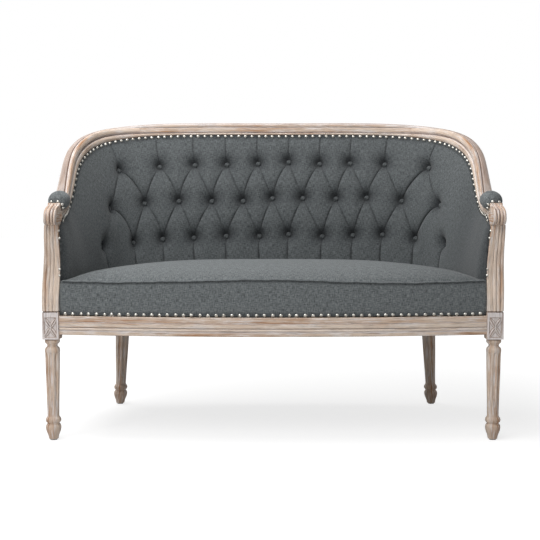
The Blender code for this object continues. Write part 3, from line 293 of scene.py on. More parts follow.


# %% [markdown]
# ## Limed wood
#
# The show-wood is open-grained oak rubbed with white lime. The lime stays in the pores and grooves, so they
# are paler than the flats, and orange-brown wood shows where the surface was wiped or worn. Long streaks
# come from noise stretched along the grain. Each piece carries a value for carving and painted shade. It is
# below zero on a rubbed edge, near a half in a limed hollow, and one or more where shade is painted dark
# brown into the bottom of a groove.

# %% Limed wood
def limed_wood(name, hidden=False):
    """Show-wood follows the UV map, and plain frame wood the object's own axes."""
    finish, tree, shader = new_finish(name, 0.62, Specular_IOR_Level=0.3)
    place = add(tree, "TexCoord").outputs["Object"] if hidden else grain_of(tree)
    # along the grain, across it, detail, roughness: streaks, pores, worn patches and spots of lime
    streak, pores, patches, spots = [
        noise(tree, place, (along, across, across if hidden else 1.0), detail, rough)
        for along, across, detail, rough in ((7.0, 150.0 if hidden else 190.0, 5.0, 0.62),
                                             (24.0, 500.0 if hidden else 620.0, 3.0, 0.6),
                                             (3.2, 26.0, 3.0, 0.5), (16.0, 60.0, 4.0, 0.65))]
    beige, brown, lime = paint(214, 194, 176), paint(168, 124, 90), paint(232, 227, 225)
    if hidden:
        beige, brown, lime = paint(200, 180, 158), paint(174, 144, 116), paint(212, 198, 180)
    carve = carve_of(tree)
    bare = sums(tree, "MULTIPLY", ramp(tree, patches, (0.42, 0.0), (0.58, 1.0)),
                ramp(tree, streak, (0.44, 0.15), (0.60, 1.0)))
    washed = sums(tree, "MULTIPLY", ramp(tree, spots, (0.45, 0.0), (0.60, 0.95)),
                  ramp(tree, streak, (0.40, 1.0), (0.56, 0.1)))
    edge = ramp(tree, sums(tree, "MULTIPLY", carve, -1.0), (0.15, 0.0), (0.80, 0.55))
    limed = ramp(tree, carve, (0.10, 0.0), (0.45, 0.8), (0.75, 0.3))
    # painted shade: groove bottoms, deep cuts and joints turn dark brown
    groove_shade = ramp(tree, carve, (0.60, 0.0), (1.0, 0.85))
    colour = beige
    for share, tint in ((bare, brown), (washed, lime), (edge, paint(228, 216, 203)),
                        (limed, paint(226, 221, 221)), (groove_shade, paint(112, 84, 68))):
        colour = mixed(tree, share, colour, tint)
    colour = mixed(tree, 0.85, colour, ramp(tree, pores, (0.32, 0.52), (0.50, 1.05)), "MULTIPLY")
    colour = mixed(tree, ramp(tree, streak, (0.32, 0.80), (0.44, 0.0)), colour, paint(134, 106, 88))
    height = sums(tree, "ADD", sums(tree, "MULTIPLY", streak, 0.6), sums(tree, "MULTIPLY", pores, 0.4))
    coat(tree, shader, colour, height, 0.45, 0.0012)
    return finish


SHOW_WOOD = limed_wood("limed_oak")
FRAME_WOOD = limed_wood("frame_beech", hidden=True)
print("wood finishes made")

# %% [markdown]
# ## Linen cover
#
# The cover is a plain-woven linen in slate grey. Its threads are thick in places, so from a step away the
# cloth looks finely mottled along both thread directions. Two noises stretched along U and along V give
# those slubs, a wide one adds faint blotches, and two wave patterns give the raised threads for the bump.
# A shading value of one paints the darkest shade, at the bottom of a fold. A value below zero paints a highlight on
# the top of the piping.

# %% Linen
def linen(name):
    finish, tree, shader = new_finish(name, 0.92, Specular_IOR_Level=0.15, Sheen_Weight=0.12,
                                      Sheen_Roughness=0.5)
    place, carve = grain_of(tree), carve_of(tree)
    warp = noise(tree, place, (84.0, 480.0, 1.0), 3.0, 0.6)
    weft = noise(tree, place, (480.0, 84.0, 1.0), 3.0, 0.6)
    blotches = ramp(tree, noise(tree, place, (46.0, 52.0, 1.0), 4.0, 0.6), (0.36, 0.66), (0.62, 1.12))
    slubs = sums(tree, "MULTIPLY", sums(tree, "ADD", warp, weft), 0.5)
    colour = ramp(tree, slubs, (0.37, paint(70, 74, 76)), (0.63, paint(132, 137, 138)))
    colour = mixed(tree, 0.24, colour, blotches, "MULTIPLY")
    # painted shade: folds, button hollows and other shaded places darken towards this dark grey
    colour = mixed(tree, ramp(tree, carve, (0.02, 0.0), (1.0, 0.85)), colour, paint(36, 38, 41))
    # painted highlight on the top of the piping
    painted_highlight = ramp(tree, sums(tree, "MULTIPLY", carve, -1.0), (0.1, 0.0), (1.0, 0.7))
    colour = mixed(tree, painted_highlight, colour, paint(156, 161, 162))
    threads = weave_of(tree, place, {"Scale": 140.0, "Distortion": 1.2, "Detail Scale": 2.0})
    coat(tree, shader, colour, sums(tree, "ADD", threads, slubs), 0.35, 0.0006)
    return finish


LINEN = linen("slate_linen")
print("linen made")

# %% [markdown]
# ## Nail heads, glides, webbing and lining
#
# The nails are polished pewter, bright on top and darker where the finish has dulled. The glides are plain
# steel. Webbing and lining are hidden work, but seen from below, so each still gets its weave.

# %% Metal, webbing and lining
def metal(name, bright, dull, rough):
    finish, tree, shader = new_finish(name, rough, Metallic=1.0)
    tarnish = noise(tree, add(tree, "TexCoord").outputs["Object"], (260.0, 260.0, 260.0), 3.0, 0.6)
    coat(tree, shader, ramp(tree, tarnish, (0.35, dull), (0.60, bright)), tarnish, 0.15, 0.0004)
    return finish


def woven(name, light, dark, pitch):
    finish, tree, shader = new_finish(name, 0.9, Specular_IOR_Level=0.1)
    threads = weave_of(tree, grain_of(tree), {"Scale": pitch, "Distortion": 0.6})
    weave = sums(tree, "MULTIPLY", threads, 0.5)
    coat(tree, shader, ramp(tree, weave, (0.30, dark), (0.70, light)), weave, 0.4, 0.0006)
    return finish


PEWTER = metal("nail_pewter", paint(196, 194, 188), paint(120, 116, 108), 0.28)
STEEL = metal("glide_steel", paint(190, 190, 188), paint(140, 140, 138), 0.38)
WEBBING = woven("jute_webbing", paint(176, 150, 108), paint(118, 98, 66), 190.0)
LINING = woven("black_lining", paint(44, 44, 46), paint(24, 24, 26), 260.0)
print("metal and hidden finishes made")

# %% [markdown]
# ## The two lines of the wall
#
# The cap rail follows one line, and the foot of the wall another on top of the seat rails. Both are smooth
# curves through a few measured places. A place on the wall is its reach along the rail line from the
# middle of the back, and a share of the height from the foot to the rail. These lines repeat the ones the
# CAD model was made with, so that every skin lies on its solid.

# %% Lines of the wall
RAIL_TOP, ARM_SPAN, ARM_Z, CREST_Z = 0.341, 0.614, 0.630, 0.8795
CREST_Y, ARM_FRONT_Y, BASE_BACK_Y = 0.32449, -0.30001, 0.26199
BASE_SPAN = 0.60203
LEG_X, LEG_Y, BLOCK_SIDE = 0.59951, -0.27801, 0.045
BLOCK_FRONT, BLOCK_BACK = LEG_Y - BLOCK_SIDE / 2.0, LEG_Y + BLOCK_SIDE / 2.0
BLOCK_INNER = LEG_X - BLOCK_SIDE / 2.0
WALL_SHARES = (
    # of the rail line: across, forward to back, up; of the base line: across, forward to back
    (0.000, 1.000, 1.000, 0.000, 1.000), (0.391, 0.992, 1.000, 0.374, 0.991), (0.660, 0.963, 0.978, 0.623, 0.961),
    (0.795, 0.908, 0.940, 0.751, 0.922), (0.892, 0.831, 0.882, 0.836, 0.872), (0.946, 0.745, 0.805, 0.899, 0.797),
    (0.977, 0.656, 0.701, 0.940, 0.712), (0.993, 0.586, 0.580, 0.963, 0.641), (0.999, 0.525, 0.416, 0.978, 0.577),
    (1.000, 0.471, 0.243, 0.988, 0.516), (0.997, 0.406, 0.108, 0.995, 0.448), (0.984, 0.311, 0.044, 1.000, 0.347),
    (0.971, 0.199, 0.020, 1.000, 0.222), (0.963, 0.088, 0.000, 0.998, 0.098), (0.963, 0.000, -0.032, 0.997, 0.000),
)


def smooth_line(knots, values):
    """A natural spline through the values, for one place or for many at once."""
    gaps = np.diff(knots)
    system = np.eye(len(knots))
    target = np.zeros(values.shape)
    for i in range(1, len(knots) - 1):
        system[i, i - 1:i + 2] = gaps[i - 1], 2.0 * (gaps[i - 1] + gaps[i]), gaps[i]
        target[i] = 6.0 * ((values[i + 1] - values[i]) / gaps[i] - (values[i] - values[i - 1]) / gaps[i - 1])
    bend = np.linalg.solve(system, target)

    def at(place):
        place = np.asarray(place, float)
        i = np.clip(np.searchsorted(knots, place) - 1, 0, len(knots) - 2)
        gap = gaps[i][..., None]
        before = (knots[i + 1] - place)[..., None] / gap
        after = (place - knots[i])[..., None] / gap
        curve = (before ** 3 - before) * bend[i] + (after ** 3 - after) * bend[i + 1]
        return before * values[i] + after * values[i + 1] + curve * gap ** 2 / 6.0

    return at


def wall_lines():
    """The rail line and the base line, both by the reach along the rail, and half its length."""
    across, along, up, base_across, base_along = np.array(WALL_SHARES).T
    rail = block_of(across * ARM_SPAN, ARM_FRONT_Y + along * (CREST_Y - ARM_FRONT_Y),
                    ARM_Z + up * (CREST_Z - ARM_Z))
    base = block_of(base_across * BASE_SPAN, ARM_FRONT_Y + base_along * (BASE_BACK_Y - ARM_FRONT_Y), RAIL_TOP)
    rail, base = [np.vstack((half[:0:-1] * (-1.0, 1.0, 1.0), half)) for half in (rail, base)]
    reach = travelled(rail)
    reach -= reach[-1] / 2.0
    return smooth_line(reach, rail), smooth_line(reach, base), reach[-1]


RAIL_LINE, BASE_LINE, HALF_REACH = wall_lines()
print("half length of the rail line:", round(HALF_REACH, 4), "m")

# %% [markdown]
# ## Places on the wall
#
# Beside the two lines, every piece of the wall needs to know which way is inwards. The rail leans with the
# wall, so its inward way is square to both the line and the slope, while the seat rails stay level.

# %% Places on the wall
NUDGE = HALF_REACH / 2000.0
UP = np.array((0.0, 0.0, 1.0))
POST_REACH, WING_HALF = 1.13412, 0.018


def side_of(value):
    """A size with one more axis, so that it can scale vectors."""
    return np.asarray(value, float)[..., None]


def rail_point(reach, inset, height):
    """A place beside the rail line: inset towards the seat, height up the slope of the wall."""
    centre = RAIL_LINE(reach)
    along = unit(RAIL_LINE(reach + NUDGE) - RAIL_LINE(reach - NUDGE))
    inward = unit(np.cross(along, centre - BASE_LINE(reach)))
    return centre + inward * side_of(inset) + np.cross(inward, along) * side_of(height)


def base_point(reach, inset, height=0.0):
    """A place beside the base line, on top of the seat rails."""
    along = BASE_LINE(reach + NUDGE) - BASE_LINE(reach - NUDGE)
    return BASE_LINE(reach) + unit(np.cross(along, UP)) * side_of(inset) + UP * side_of(height)


def half_thickness(reach):
    """Half the thickness of the rail, which grows from the wing to the arm."""
    return WING_HALF + 0.006 * soft_share(np.abs(reach) / HALF_REACH, 0.66, 0.80)


def inner_half(reach):
    """The inner side is hollowed a little beside the pad, and runs out to the scroll at its end."""
    reach = np.abs(reach)
    return 0.0176 - 0.0050 * bell(reach - 0.985, 0.085) - 0.0068 * soft_share(reach, 1.030, 1.120)


def top_share(reach):
    """The cloth ends on a slant beside the scroll, down to the top of the post."""
    return 1.0 - 0.082 * share_of(np.abs(reach), POST_REACH - 0.060, POST_REACH + 0.030) ** 1.4


def steps_between(first, last, pitch):
    """Evenly spread reaches, about one pitch apart."""
    return np.linspace(first, last, max(2, int(round(abs(last - first) / pitch)) + 1))


print("crest at", [round(float(v), 3) for v in RAIL_LINE(0.0)])

# %% [markdown]
# ## The moulded cap rail
#
# A joiner runs this rail as one moulding and joins it at the corners. On the back it shows, from the top, a
# pale roll, a groove, a flat band, a shallow groove and a bright lip that the cloth tucks under. On the wings
# the first groove turns up to the top. So there are two sections, drawn as a few corners that are then
# eased, and the rail blends from one to the other. Each corner also carries its value for carving and
# painted shade, which paints the grooves and the hollow under the lip dark. At the arm end the lip follows
# the slant of the cloth.

# %% Cap rail section and sweep
CAP_SECTION = (
    # side of the rail, extra inset, height, carving and painted shade
    (-1, 0.0000, -0.0340, 0.0), (-1, 0.0000, -0.0120, 0.0), (-1, 0.0000, 0.0060, 0.0), (-1, 0.0008, 0.0160, 0.0),
    (-1, 0.0060, 0.0198, 0.84), (0, 0.0000, 0.0202, 0.92), (1, -0.0070, 0.0197, 0.92), (1, -0.0016, 0.0170, 0.82),
    (1, 0.0002, 0.0130, 0.1), (1, 0.0006, 0.0080, 0.0), (1, -0.0002, 0.0064, 0.4), (1, -0.0044, 0.0048, 0.8),
    (1, 0.0004, 0.0032, 0.2), (1, 0.0014, 0.0016, -0.2), (1, 0.0012, -0.0030, 0.0), (1, 0.0014, -0.0088, -0.1),
    (1, 0.0010, -0.0098, 0.2), (1, -0.0002, -0.0108, 0.5), (1, -0.0036, -0.0122, 0.7), (1, -0.0032, -0.0134, 0.65),
    (1, 0.0010, -0.0144, 0.1), (1, 0.0024, -0.0162, -0.8), (1, 0.0016, -0.0188, -0.4), (1, -0.0016, -0.0206, 0.4),
    (1, -0.0100, -0.0206, 1.0), (1, -0.0100, -0.0340, 0.0),
)
WING_SECTION = CAP_SECTION[:4] + (
    (-1, 0.0050, 0.0200, 0.84), (-1, 0.0110, 0.0212, 0.84), (0, -0.0010, 0.0210, 0.84), (0, 0.0012, 0.0204, 0.8),
    (0, 0.0024, 0.0186, 0.84), (0, 0.0031, 0.0164, 1.0), (0, 0.0037, 0.0158, 1.2), (0, 0.0045, 0.0172, 0.9),
    (0, 0.0056, 0.0196, 0.8), (0, 0.0110, 0.0205, 0.0), (1, -0.0030, 0.0192, 0.0), (1, 0.0000, 0.0150, 0.0),
    (1, 0.0010, 0.0070, 0.0), (1, 0.0000, 0.0030, 0.3), (1, -0.0052, 0.0010, 0.9), (1, -0.0050, -0.0020, 0.9),
    (1, 0.0010, -0.0045, 0.1), (1, 0.0024, -0.0100, -0.5), (1, 0.0016, -0.0160, -0.3),
) + CAP_SECTION[23:]
CREST_END, WING_END, JOINT = 0.44262, 0.95463, 0.0002
LIP_DROP, CAP_TOP = 0.235, 0.0210


def cap_rail(work, first, last, squash=1.0, shift=0.0, pitch=0.008):
    """Carry the eased section along the rail line between two reaches."""
    reach = steps_between(first, last, pitch)[:, None]
    turned = soft_share(np.abs(reach), 0.32, 0.62)
    inset, height, carve = 0.0, 0.0, 0.0
    for section, part in ((CAP_SECTION, 1.0 - turned), (WING_SECTION, turned)):
        side, away, up, cut = eased(section).T[:, None, :]
        half = np.where(side > 0.0, inner_half(reach), half_thickness(reach))
        inset = inset + part * (side * half + away)
        height = height + part * up
        carve = carve + part * cut
    height = np.where(height > 0.0, height * squash, height)
    lip = share_of(-height, 0.0125, 0.0155) * (inset > 0.0)
    height = height - LIP_DROP * (1.0 - top_share(reach)) * lip
    lay(work, rail_point(reach, inset, height), carve=carve, ring=True, caps=True, shift=shift)


work = new_work()
cap_rail(work, -CREST_END + JOINT, CREST_END - JOINT)
show("crest_cap", work, SHOW_WOOD, "show_wood", "crest_rail")
work = new_work()
cap_rail(work, CREST_END + JOINT, WING_END - JOINT, shift=3.1)
pair("wing_cap", "wing_rail", work, SHOW_WOOD, "show_wood")

# %% [markdown]
# ## The arms and their scrolled fronts
#
# Each arm is the level end of the same rail, planed flat on top where the pad sits, and it ends in a carved
# scroll. From the front the scroll shows four rounded lobes with deep cuts between them, rolled over at the
# top and tucked under at the bottom. The side outline of the scroll is one closed line. It is carried
# across the arm in many slices, and each slice is drawn in a little where a cut lies.

# %% Scrolled arm front
SCROLL_OUTER, SCROLL_INNER, SCROLL_FOOT, SCROLL_NOSE, PAD_SEAT = 0.6142, 0.5802, 0.5862, -0.332, 0.002
SCROLL_SIDE = (
    # along the arm, height, how far the cuts reach this corner
    (BLOCK_BACK, SCROLL_FOOT, 0.0), (BLOCK_BACK, 0.6315, 0.0), (-0.2645, 0.6320, 0.0), (-0.2652, 0.6440, 0.0),
    (-0.2675, 0.6452, 0.0), (-0.2715, 0.6438, 0.1), (-0.2735, 0.6400, 0.9), (-0.2900, 0.6368, 1.0),
    (-0.3080, 0.6322, 1.0), (-0.3235, 0.6255, 1.0), (-0.3315, 0.6130, 1.0), (-0.3322, 0.5995, 1.0),
    (-0.3285, 0.5915, 1.0), (-0.3190, 0.5864, 0.8), (-0.3050, SCROLL_FOOT, 0.0),
)
LOBE_CUTS = ((0.25, 0.8, 0.040), (0.48, 1.0, 0.042), (0.755, 0.5, 0.042))


def lobe_cut(share):
    """How deep the carving goes across the arm, from the inner side at 0 to the outer at 1."""
    cut = np.max([depth * bell(share - place, width) for place, depth, width in LOBE_CUTS], axis=0)
    crown = np.abs(np.sin(4.0 * math.pi * share)) ** 0.5
    edge = share_of(-np.minimum(share, 1.0 - share), -0.10, 0.0) ** 2.5
    return cut + 0.16 * (1.0 - crown), edge


def scroll(work):
    side = eased(SCROLL_SIDE)
    y, z, reach = side.T[:, None, :]
    along_y, along_z = unit(np.roll(side[:, :2], -1, axis=0) - np.roll(side[:, :2], 1, axis=0)).T[:, None, :]
    share = np.linspace(0.0, 1.0, 81)[:, None]
    cut, edge = lobe_cut(share)
    sink = reach * (0.0056 * cut + 0.0060 * edge)
    rows_y = y - along_z * sink
    rows_z = np.maximum(z + along_y * sink, SCROLL_FOOT)
    inner = SCROLL_INNER + 0.0006 * share_of(y, SCROLL_NOSE, BLOCK_BACK)
    rows_x = inner + (SCROLL_OUTER - inner) * share
    flat = block_of(rows_z + rows_y, rows_x)
    flat = np.concatenate((flat, flat[:, :1]), axis=1)
    # lime in the cuts between the lobes, and shade painted dark brown where they are deepest
    carve = np.clip(cut * 1.4 - 0.25, -0.3, 1.3) * np.clip(reach, 0.15, 1.0)
    lay(work, block_of(rows_x, rows_y, rows_z), carve=carve, ring=True, caps=True, flat=flat)


ARM_START = WING_END + 0.002
work = new_work()
cap_rail(work, WING_END + JOINT, ARM_START, shift=5.2, pitch=0.001)
cap_rail(work, ARM_START, POST_REACH + BLOCK_SIDE / 4.0, squash=PAD_SEAT / CAP_TOP, shift=5.2)
scroll(work)
pair("arm_with_scroll", "arm", work, SHOW_WOOD, "show_wood")

# %% [markdown]
# ## Arm posts
#
# A post stands on each front leg block and carries the scroll. Its front face has three reeds over the
# outer part and a broad flat band beside the cloth, and it is a little slimmer at the top. The section is
# drawn once and carried up in many rows, so the slight waist follows from the rows alone. The lowest rows
# are drawn in, with shade painted dark into them, as the joint on the block.

# %% Reeded post
POST_SHAPE = np.array((
    # height, middle across, half width
    (0.351, 0.5995, 0.0225), (0.376, 0.6000, 0.0226), (0.420, 0.5998, 0.0232), (0.462, 0.5988, 0.0229),
    (0.497, 0.5983, 0.0217), (0.534, 0.5990, 0.0200), (0.586, 0.5999, 0.0184),
))
POST_FOOT, POST_TOP, REEDS, REED_DEPTH = 0.3513, SCROLL_FOOT - 0.0005, 3, 0.0052


def post_section(half, depth):
    """Section of the post seen from above, from the inner back corner round the front face."""
    points = [(-half, BLOCK_SIDE / 2.0, 0.0), (-half, 0.0, 0.0), (-half, -depth + 0.0040, -0.2),
              (-half + 0.0012, -depth + 0.0022, -0.6), (-half * 0.30, -depth + 0.0020, 0.0)]
    width = half * 1.30 / REEDS
    for reed in range(REEDS):
        left = -half * 0.30 + reed * width
        points.append((left, -depth + REED_DEPTH, 1.1))
        for angle in np.linspace(0.0, math.pi, 9)[1:-1]:
            rise = REED_DEPTH * math.sin(angle) ** 0.6
            points.append((left + width * (0.5 - 0.5 * math.cos(angle)), -depth + REED_DEPTH - rise, -0.4))
    points += [(half, -depth + REED_DEPTH, 0.3), (half, 0.0, 0.0), (half, BLOCK_SIDE / 2.0, 0.0)]
    return eased(points, 1)


def post_rows():
    rows = []
    shape = smooth_line(POST_SHAPE[:, 0], POST_SHAPE[:, 1:])
    for share in np.concatenate(((0.0, 0.0100, 0.0118), np.linspace(0.016, 1.0, 58))):
        z = POST_FOOT + (POST_TOP - POST_FOOT) * share
        middle, half = shape(z)
        depth = BLOCK_SIDE / 2.0 - 0.012 * math.sin(math.pi * share) ** 2
        joint = share < 0.011
        x, y, carve = post_section(half - 0.0020 * joint, depth - 0.0034 * joint).T
        # the joint rows get painted shade, the others their carving values
        rows.append(block_of(middle + x, LEG_Y + y, z, np.where(joint, 1.3, carve)))
    return np.array(rows)


rows = post_rows()
work = skin(rows[..., :3], carve=rows[..., 3], shift=7.7)
pair("reeded_post", "arm_post", work, SHOW_WOOD, "show_wood")

# %% [markdown]
# ## Seat rails
#
# The front rail bows forward and has a moulding run along its face: a wide upper band, a shallow groove, a
# pale flat, a deep groove, a pale bead, a last groove and a lower band. The side rails repeat it along the
# base line. The rear rail stays the plain one of the CAD model, and only gets the frame finish.

# %% Moulding and rails
RAIL_HEIGHT, RAIL_PROUD, RAIL_INNER, RAIL_BOW = 0.051, 0.018, 0.022, 0.047
MOULDING = (
    # depth behind the face, drop from the top, carving and painted shade
    (0.0014, 0.0000, -0.4), (0.0000, 0.0020, -0.5), (0.0000, 0.0150, 0.0), (0.0010, 0.0158, 0.1),
    (0.0026, 0.0168, 0.75), (0.0012, 0.0180, 0.1), (0.0002, 0.0192, -0.7), (0.0002, 0.0278, -0.6),
    (0.0014, 0.0292, 0.3), (0.0048, 0.0302, 1.2), (0.0014, 0.0314, 0.1), (-0.0004, 0.0330, -0.8),
    (-0.0004, 0.0356, -0.8), (0.0014, 0.0372, 0.2), (0.0034, 0.0386, 0.9), (0.0020, 0.0410, 0.2),
    (0.0016, 0.0500, -0.2), (0.0030, 0.0510, -0.4),
)


def front_face_y(x):
    """Bowed front of the seat rail."""
    share = np.asarray(x, float) / BLOCK_INNER
    return BLOCK_FRONT + 0.004 - RAIL_BOW * (1.0 - share * share)


def rail_section(front, back):
    """Depth, height and carve of every corner, in rows that fit a column of places along the rail."""
    points = [(front + depth, RAIL_TOP - drop, carve) for depth, drop, carve in MOULDING]
    points += [(back, RAIL_TOP - RAIL_HEIGHT, 0.0), (back, RAIL_TOP, 0.0)]
    return eased(points).T[:, None, :]


depth, height, carve = rail_section(0.0, 0.030)
x = np.linspace(-BLOCK_INNER + 0.0003, BLOCK_INNER - 0.0003, 120)[:, None]
work = skin(block_of(x, front_face_y(x) + depth, height), carve=carve, shift=9.4)
show("bowed_front_rail", work, SHOW_WOOD, "show_wood", "front_rail")

depth, height, carve = rail_section(-RAIL_PROUD, RAIL_INNER)
reach = steps_between(0.5755, 1.1360, 0.009)[:, None]
work = skin(base_point(reach, depth, height - RAIL_TOP), carve=carve, shift=11.9)
pair("moulded_side_rail", "side_rail", work, SHOW_WOOD, "show_wood")

# %% [markdown]
# ## Turned legs
#
# A leg is one piece of wood: a square block left at the top, and a turning below it. A lathe is a spin, so
# half of the outline is drawn and spun round. The eight flutes are cut afterwards by moving the points of
# the column inwards, deeper in the middle of each flute, with rounded ends.

# %% Turning
LEG_TOP, LEG_FOOT, LEG_RADIUS = 0.277, 0.0023, 0.0205
TURNING = (
    # radius and height, as shares of the leg's
    (0.00, 1.012), (0.900, 1.012), (0.900, 0.994), (0.985, 0.991), (0.985, 0.966), (0.80, 0.955), (0.700, 0.944),
    (0.660, 0.934), (0.700, 0.926), (0.840, 0.918), (0.950, 0.908), (1.000, 0.892), (0.985, 0.874),
    (0.955, 0.862), (0.955, 0.850), (0.925, 0.700), (0.860, 0.520), (0.800, 0.380), (0.772, 0.262),
    (0.765, 0.240), (0.780, 0.226), (0.930, 0.214), (1.010, 0.200), (1.015, 0.186), (0.960, 0.172),
    (0.800, 0.164), (0.770, 0.158), (0.860, 0.150), (0.985, 0.138), (1.015, 0.120), (0.985, 0.096),
    (0.880, 0.070), (0.740, 0.046), (0.650, 0.018), (0.620, 0.000), (0.00, 0.000),
)
FLUTES, TURNS, FLUTE_TOP, FLUTE_FOOT = 8, 96, 0.2400, 0.0860


def spun(work, profile, steps):
    """Spin a half outline, given as radius and height, into a closed shape."""
    before = set(work.verts)
    verts = [work.verts.new((radius, 0.0, height)) for radius, height in profile]
    edges = [work.edges.new(ends) for ends in zip(verts, verts[1:])]
    bmesh.ops.spin(work, geom=verts + edges, cent=(0, 0, 0), axis=(0, 0, 1), dvec=(0, 0, 0),
                   angle=2.0 * math.pi, steps=steps, use_merge=True, use_duplicate=False)
    bmesh.ops.remove_doubles(work, verts=[vertex for vertex in work.verts if vertex not in before], dist=1e-6)
    return [vertex for vertex in work.verts if vertex not in before]


def leg_profile():
    """The eased outline of the turning, with more places down the long column."""
    outline = np.array(TURNING) * (LEG_RADIUS, LEG_TOP - LEG_FOOT) + (0.0, LEG_FOOT)
    fine = [outline[0]]
    for high, low in zip(outline[1:-1], outline[2:]):
        fine += [0.75 * high + 0.25 * low, 0.25 * high + 0.75 * low]
    fine[-1] = outline[-1]
    profile = fine[:1]
    for high, low in zip(fine, fine[1:]):
        gap = high[1] - low[1]
        steps = int(gap / 0.0045) - 1 if gap > 0.02 else 1
        profile += [high + (low - high) * step / steps for step in range(1, steps + 1)]
    return profile


def wrap_grain(work, faces):
    """UVs of a turned shape: U up the leg, V round it, without a jump at the back."""
    grain = work.loops.layers.uv["grain"]
    for face in faces:
        middle = face.calc_center_median()
        start = math.atan2(middle.y, middle.x)
        for loop in face.loops:
            x, y, z = loop.vert.co
            turn = math.atan2(y, x) if math.hypot(x, y) > 1e-6 else start
            turn += 2.0 * math.pi * round((start - turn) / (2.0 * math.pi))
            loop[grain].uv = (z, turn * LEG_RADIUS)


def turn_leg(work):
    """Spin the outline and sink the flutes."""
    made = spun(work, leg_profile(), TURNS)
    carve_shading_layer = work.verts.layers.float["carve"]
    for vertex in made:
        x, y, z = vertex.co
        if not FLUTE_FOOT < z < FLUTE_TOP:
            # shade painted dark just under the block; elsewhere a rubbed edge
            vertex[carve_shading_layer] = 1.1 if z > LEG_TOP - 0.0022 else -0.1
            continue
        phase = (math.atan2(y, x) * FLUTES / (2.0 * math.pi) + 0.5) % 1.0 - 0.5
        end = min(FLUTE_TOP - z, (z - FLUTE_FOOT) * 0.45)
        width = 0.40 * min(1.0, end / 0.009) ** 0.5
        inside = max(0.0, 1.0 - (phase / width) ** 2)
        sink = 0.0034 * inside ** 0.6 * min(1.0, (z - FLUTE_FOOT) / 0.05)
        left = 1.0 - sink / math.hypot(x, y)
        vertex.co = (x * left, y * left, z)
        # lime and some painted shade at the flute ends; the fillets between flutes are rubbed paler
        vertex[carve_shading_layer] = 0.75 * inside ** 4 * (end < 0.012) - 0.8 * (abs(phase) > 0.40) - 0.3 * (z > 0.20)
    wrap_grain(work, {face for vertex in made for face in vertex.link_faces})


# %% [markdown]
# ## Carved leg blocks
#
# On the two front blocks a raised frame borders a sunk panel with a leaf cross: four pointed leaves reach
# from a small boss towards the corners. The carving is shallow, so each carved face is a grid whose points
# are pushed in and out by one height rule, and its rim is run back into the block.

# %% Leaf carving
PANEL_HALF = (0.0170, 0.0275)


def leaf_height(x, z):
    """Height of the carved face over the frame level, for places measured from the panel's middle."""
    wide, tall = PANEL_HALF
    diagonal, tilt = math.hypot(wide, tall), math.atan2(tall, wide)
    outside = np.maximum(np.abs(x) - wide, np.abs(z) - tall)
    height = -0.0026 * share_of(-outside, 0.0, 0.0014)
    for side, end in ((-1.0, -1.0), (-1.0, 1.0), (1.0, -1.0), (1.0, 1.0)):
        along = (x * side * math.cos(tilt) + z * end * math.sin(tilt)) / diagonal
        across = x * side * math.sin(tilt) - z * end * math.cos(tilt)
        width = 0.0062 * np.sin(math.pi * np.clip(along, 0.0, 1.0) ** 0.8) ** 0.7 + 1e-6
        body = np.clip(1.0 - (across / width) ** 2, 0.0, 1.0) ** 0.5
        veins = 0.0005 * np.cos((along * diagonal - np.abs(across) * 0.8) / 0.00042)
        leaf = 0.0030 * body - 0.0020 * bell(across, 0.0009) + veins * body - 0.0024
        height = np.where((along > 0.0) & (along < 1.0) & (body > 0.0), np.maximum(height, leaf), height)
    boss = np.hypot(x, z) / 0.0036
    dome_height = 0.0022 * np.sqrt(np.clip(1.0 - boss ** 2, 0.0, 1.0)) - 0.0012
    return np.where(boss < 1.0, np.maximum(height, dome_height), height)


def carved_face(work, turn):
    """A carved grid on one side of the block, with its rim run back into the wood."""
    half = BLOCK_SIDE / 2.0 - 0.0006
    x = np.linspace(-half, half, 65)[None, :]
    z = np.linspace(LEG_TOP + 0.0006, RAIL_TOP + 0.0094, 97)[:, None]
    raised = leaf_height(x, z - LEG_TOP - 0.0055 - PANEL_HALF[1])
    raised = raised - 0.0008 * share_of(np.abs(x), half - 0.0012, half) ** 2
    slope = np.hypot(*np.gradient(raised, z[:, 0], x[0]))
    # lime over the sunk panel, and shade painted dark brown on the steep sides of the carving
    carve = 0.45 + 0.62 * np.clip(slope / 1.3 - 0.36, 0.0, 1.0)
    made = lay(work, block_of(x, -BLOCK_SIDE / 2.0 - raised, z), carve=carve, flat=block_of(z, x))
    rims = [edge for edge in {edge for vertex in made for edge in vertex.link_edges} if edge.is_boundary]
    grown = bmesh.ops.extrude_edge_only(work, edges=rims)["geom"]
    back = [item for item in grown if isinstance(item, bmesh.types.BMVert)]
    for vertex in back:
        vertex.co.y = -BLOCK_SIDE / 2.0 + 0.006
    bmesh.ops.holes_fill(work, edges=[item for item in grown if isinstance(item, bmesh.types.BMEdge)], sides=0)
    bmesh.ops.rotate(work, verts=made + back, cent=(0, 0, 0), matrix=Matrix.Rotation(turn, 3, "Z"))


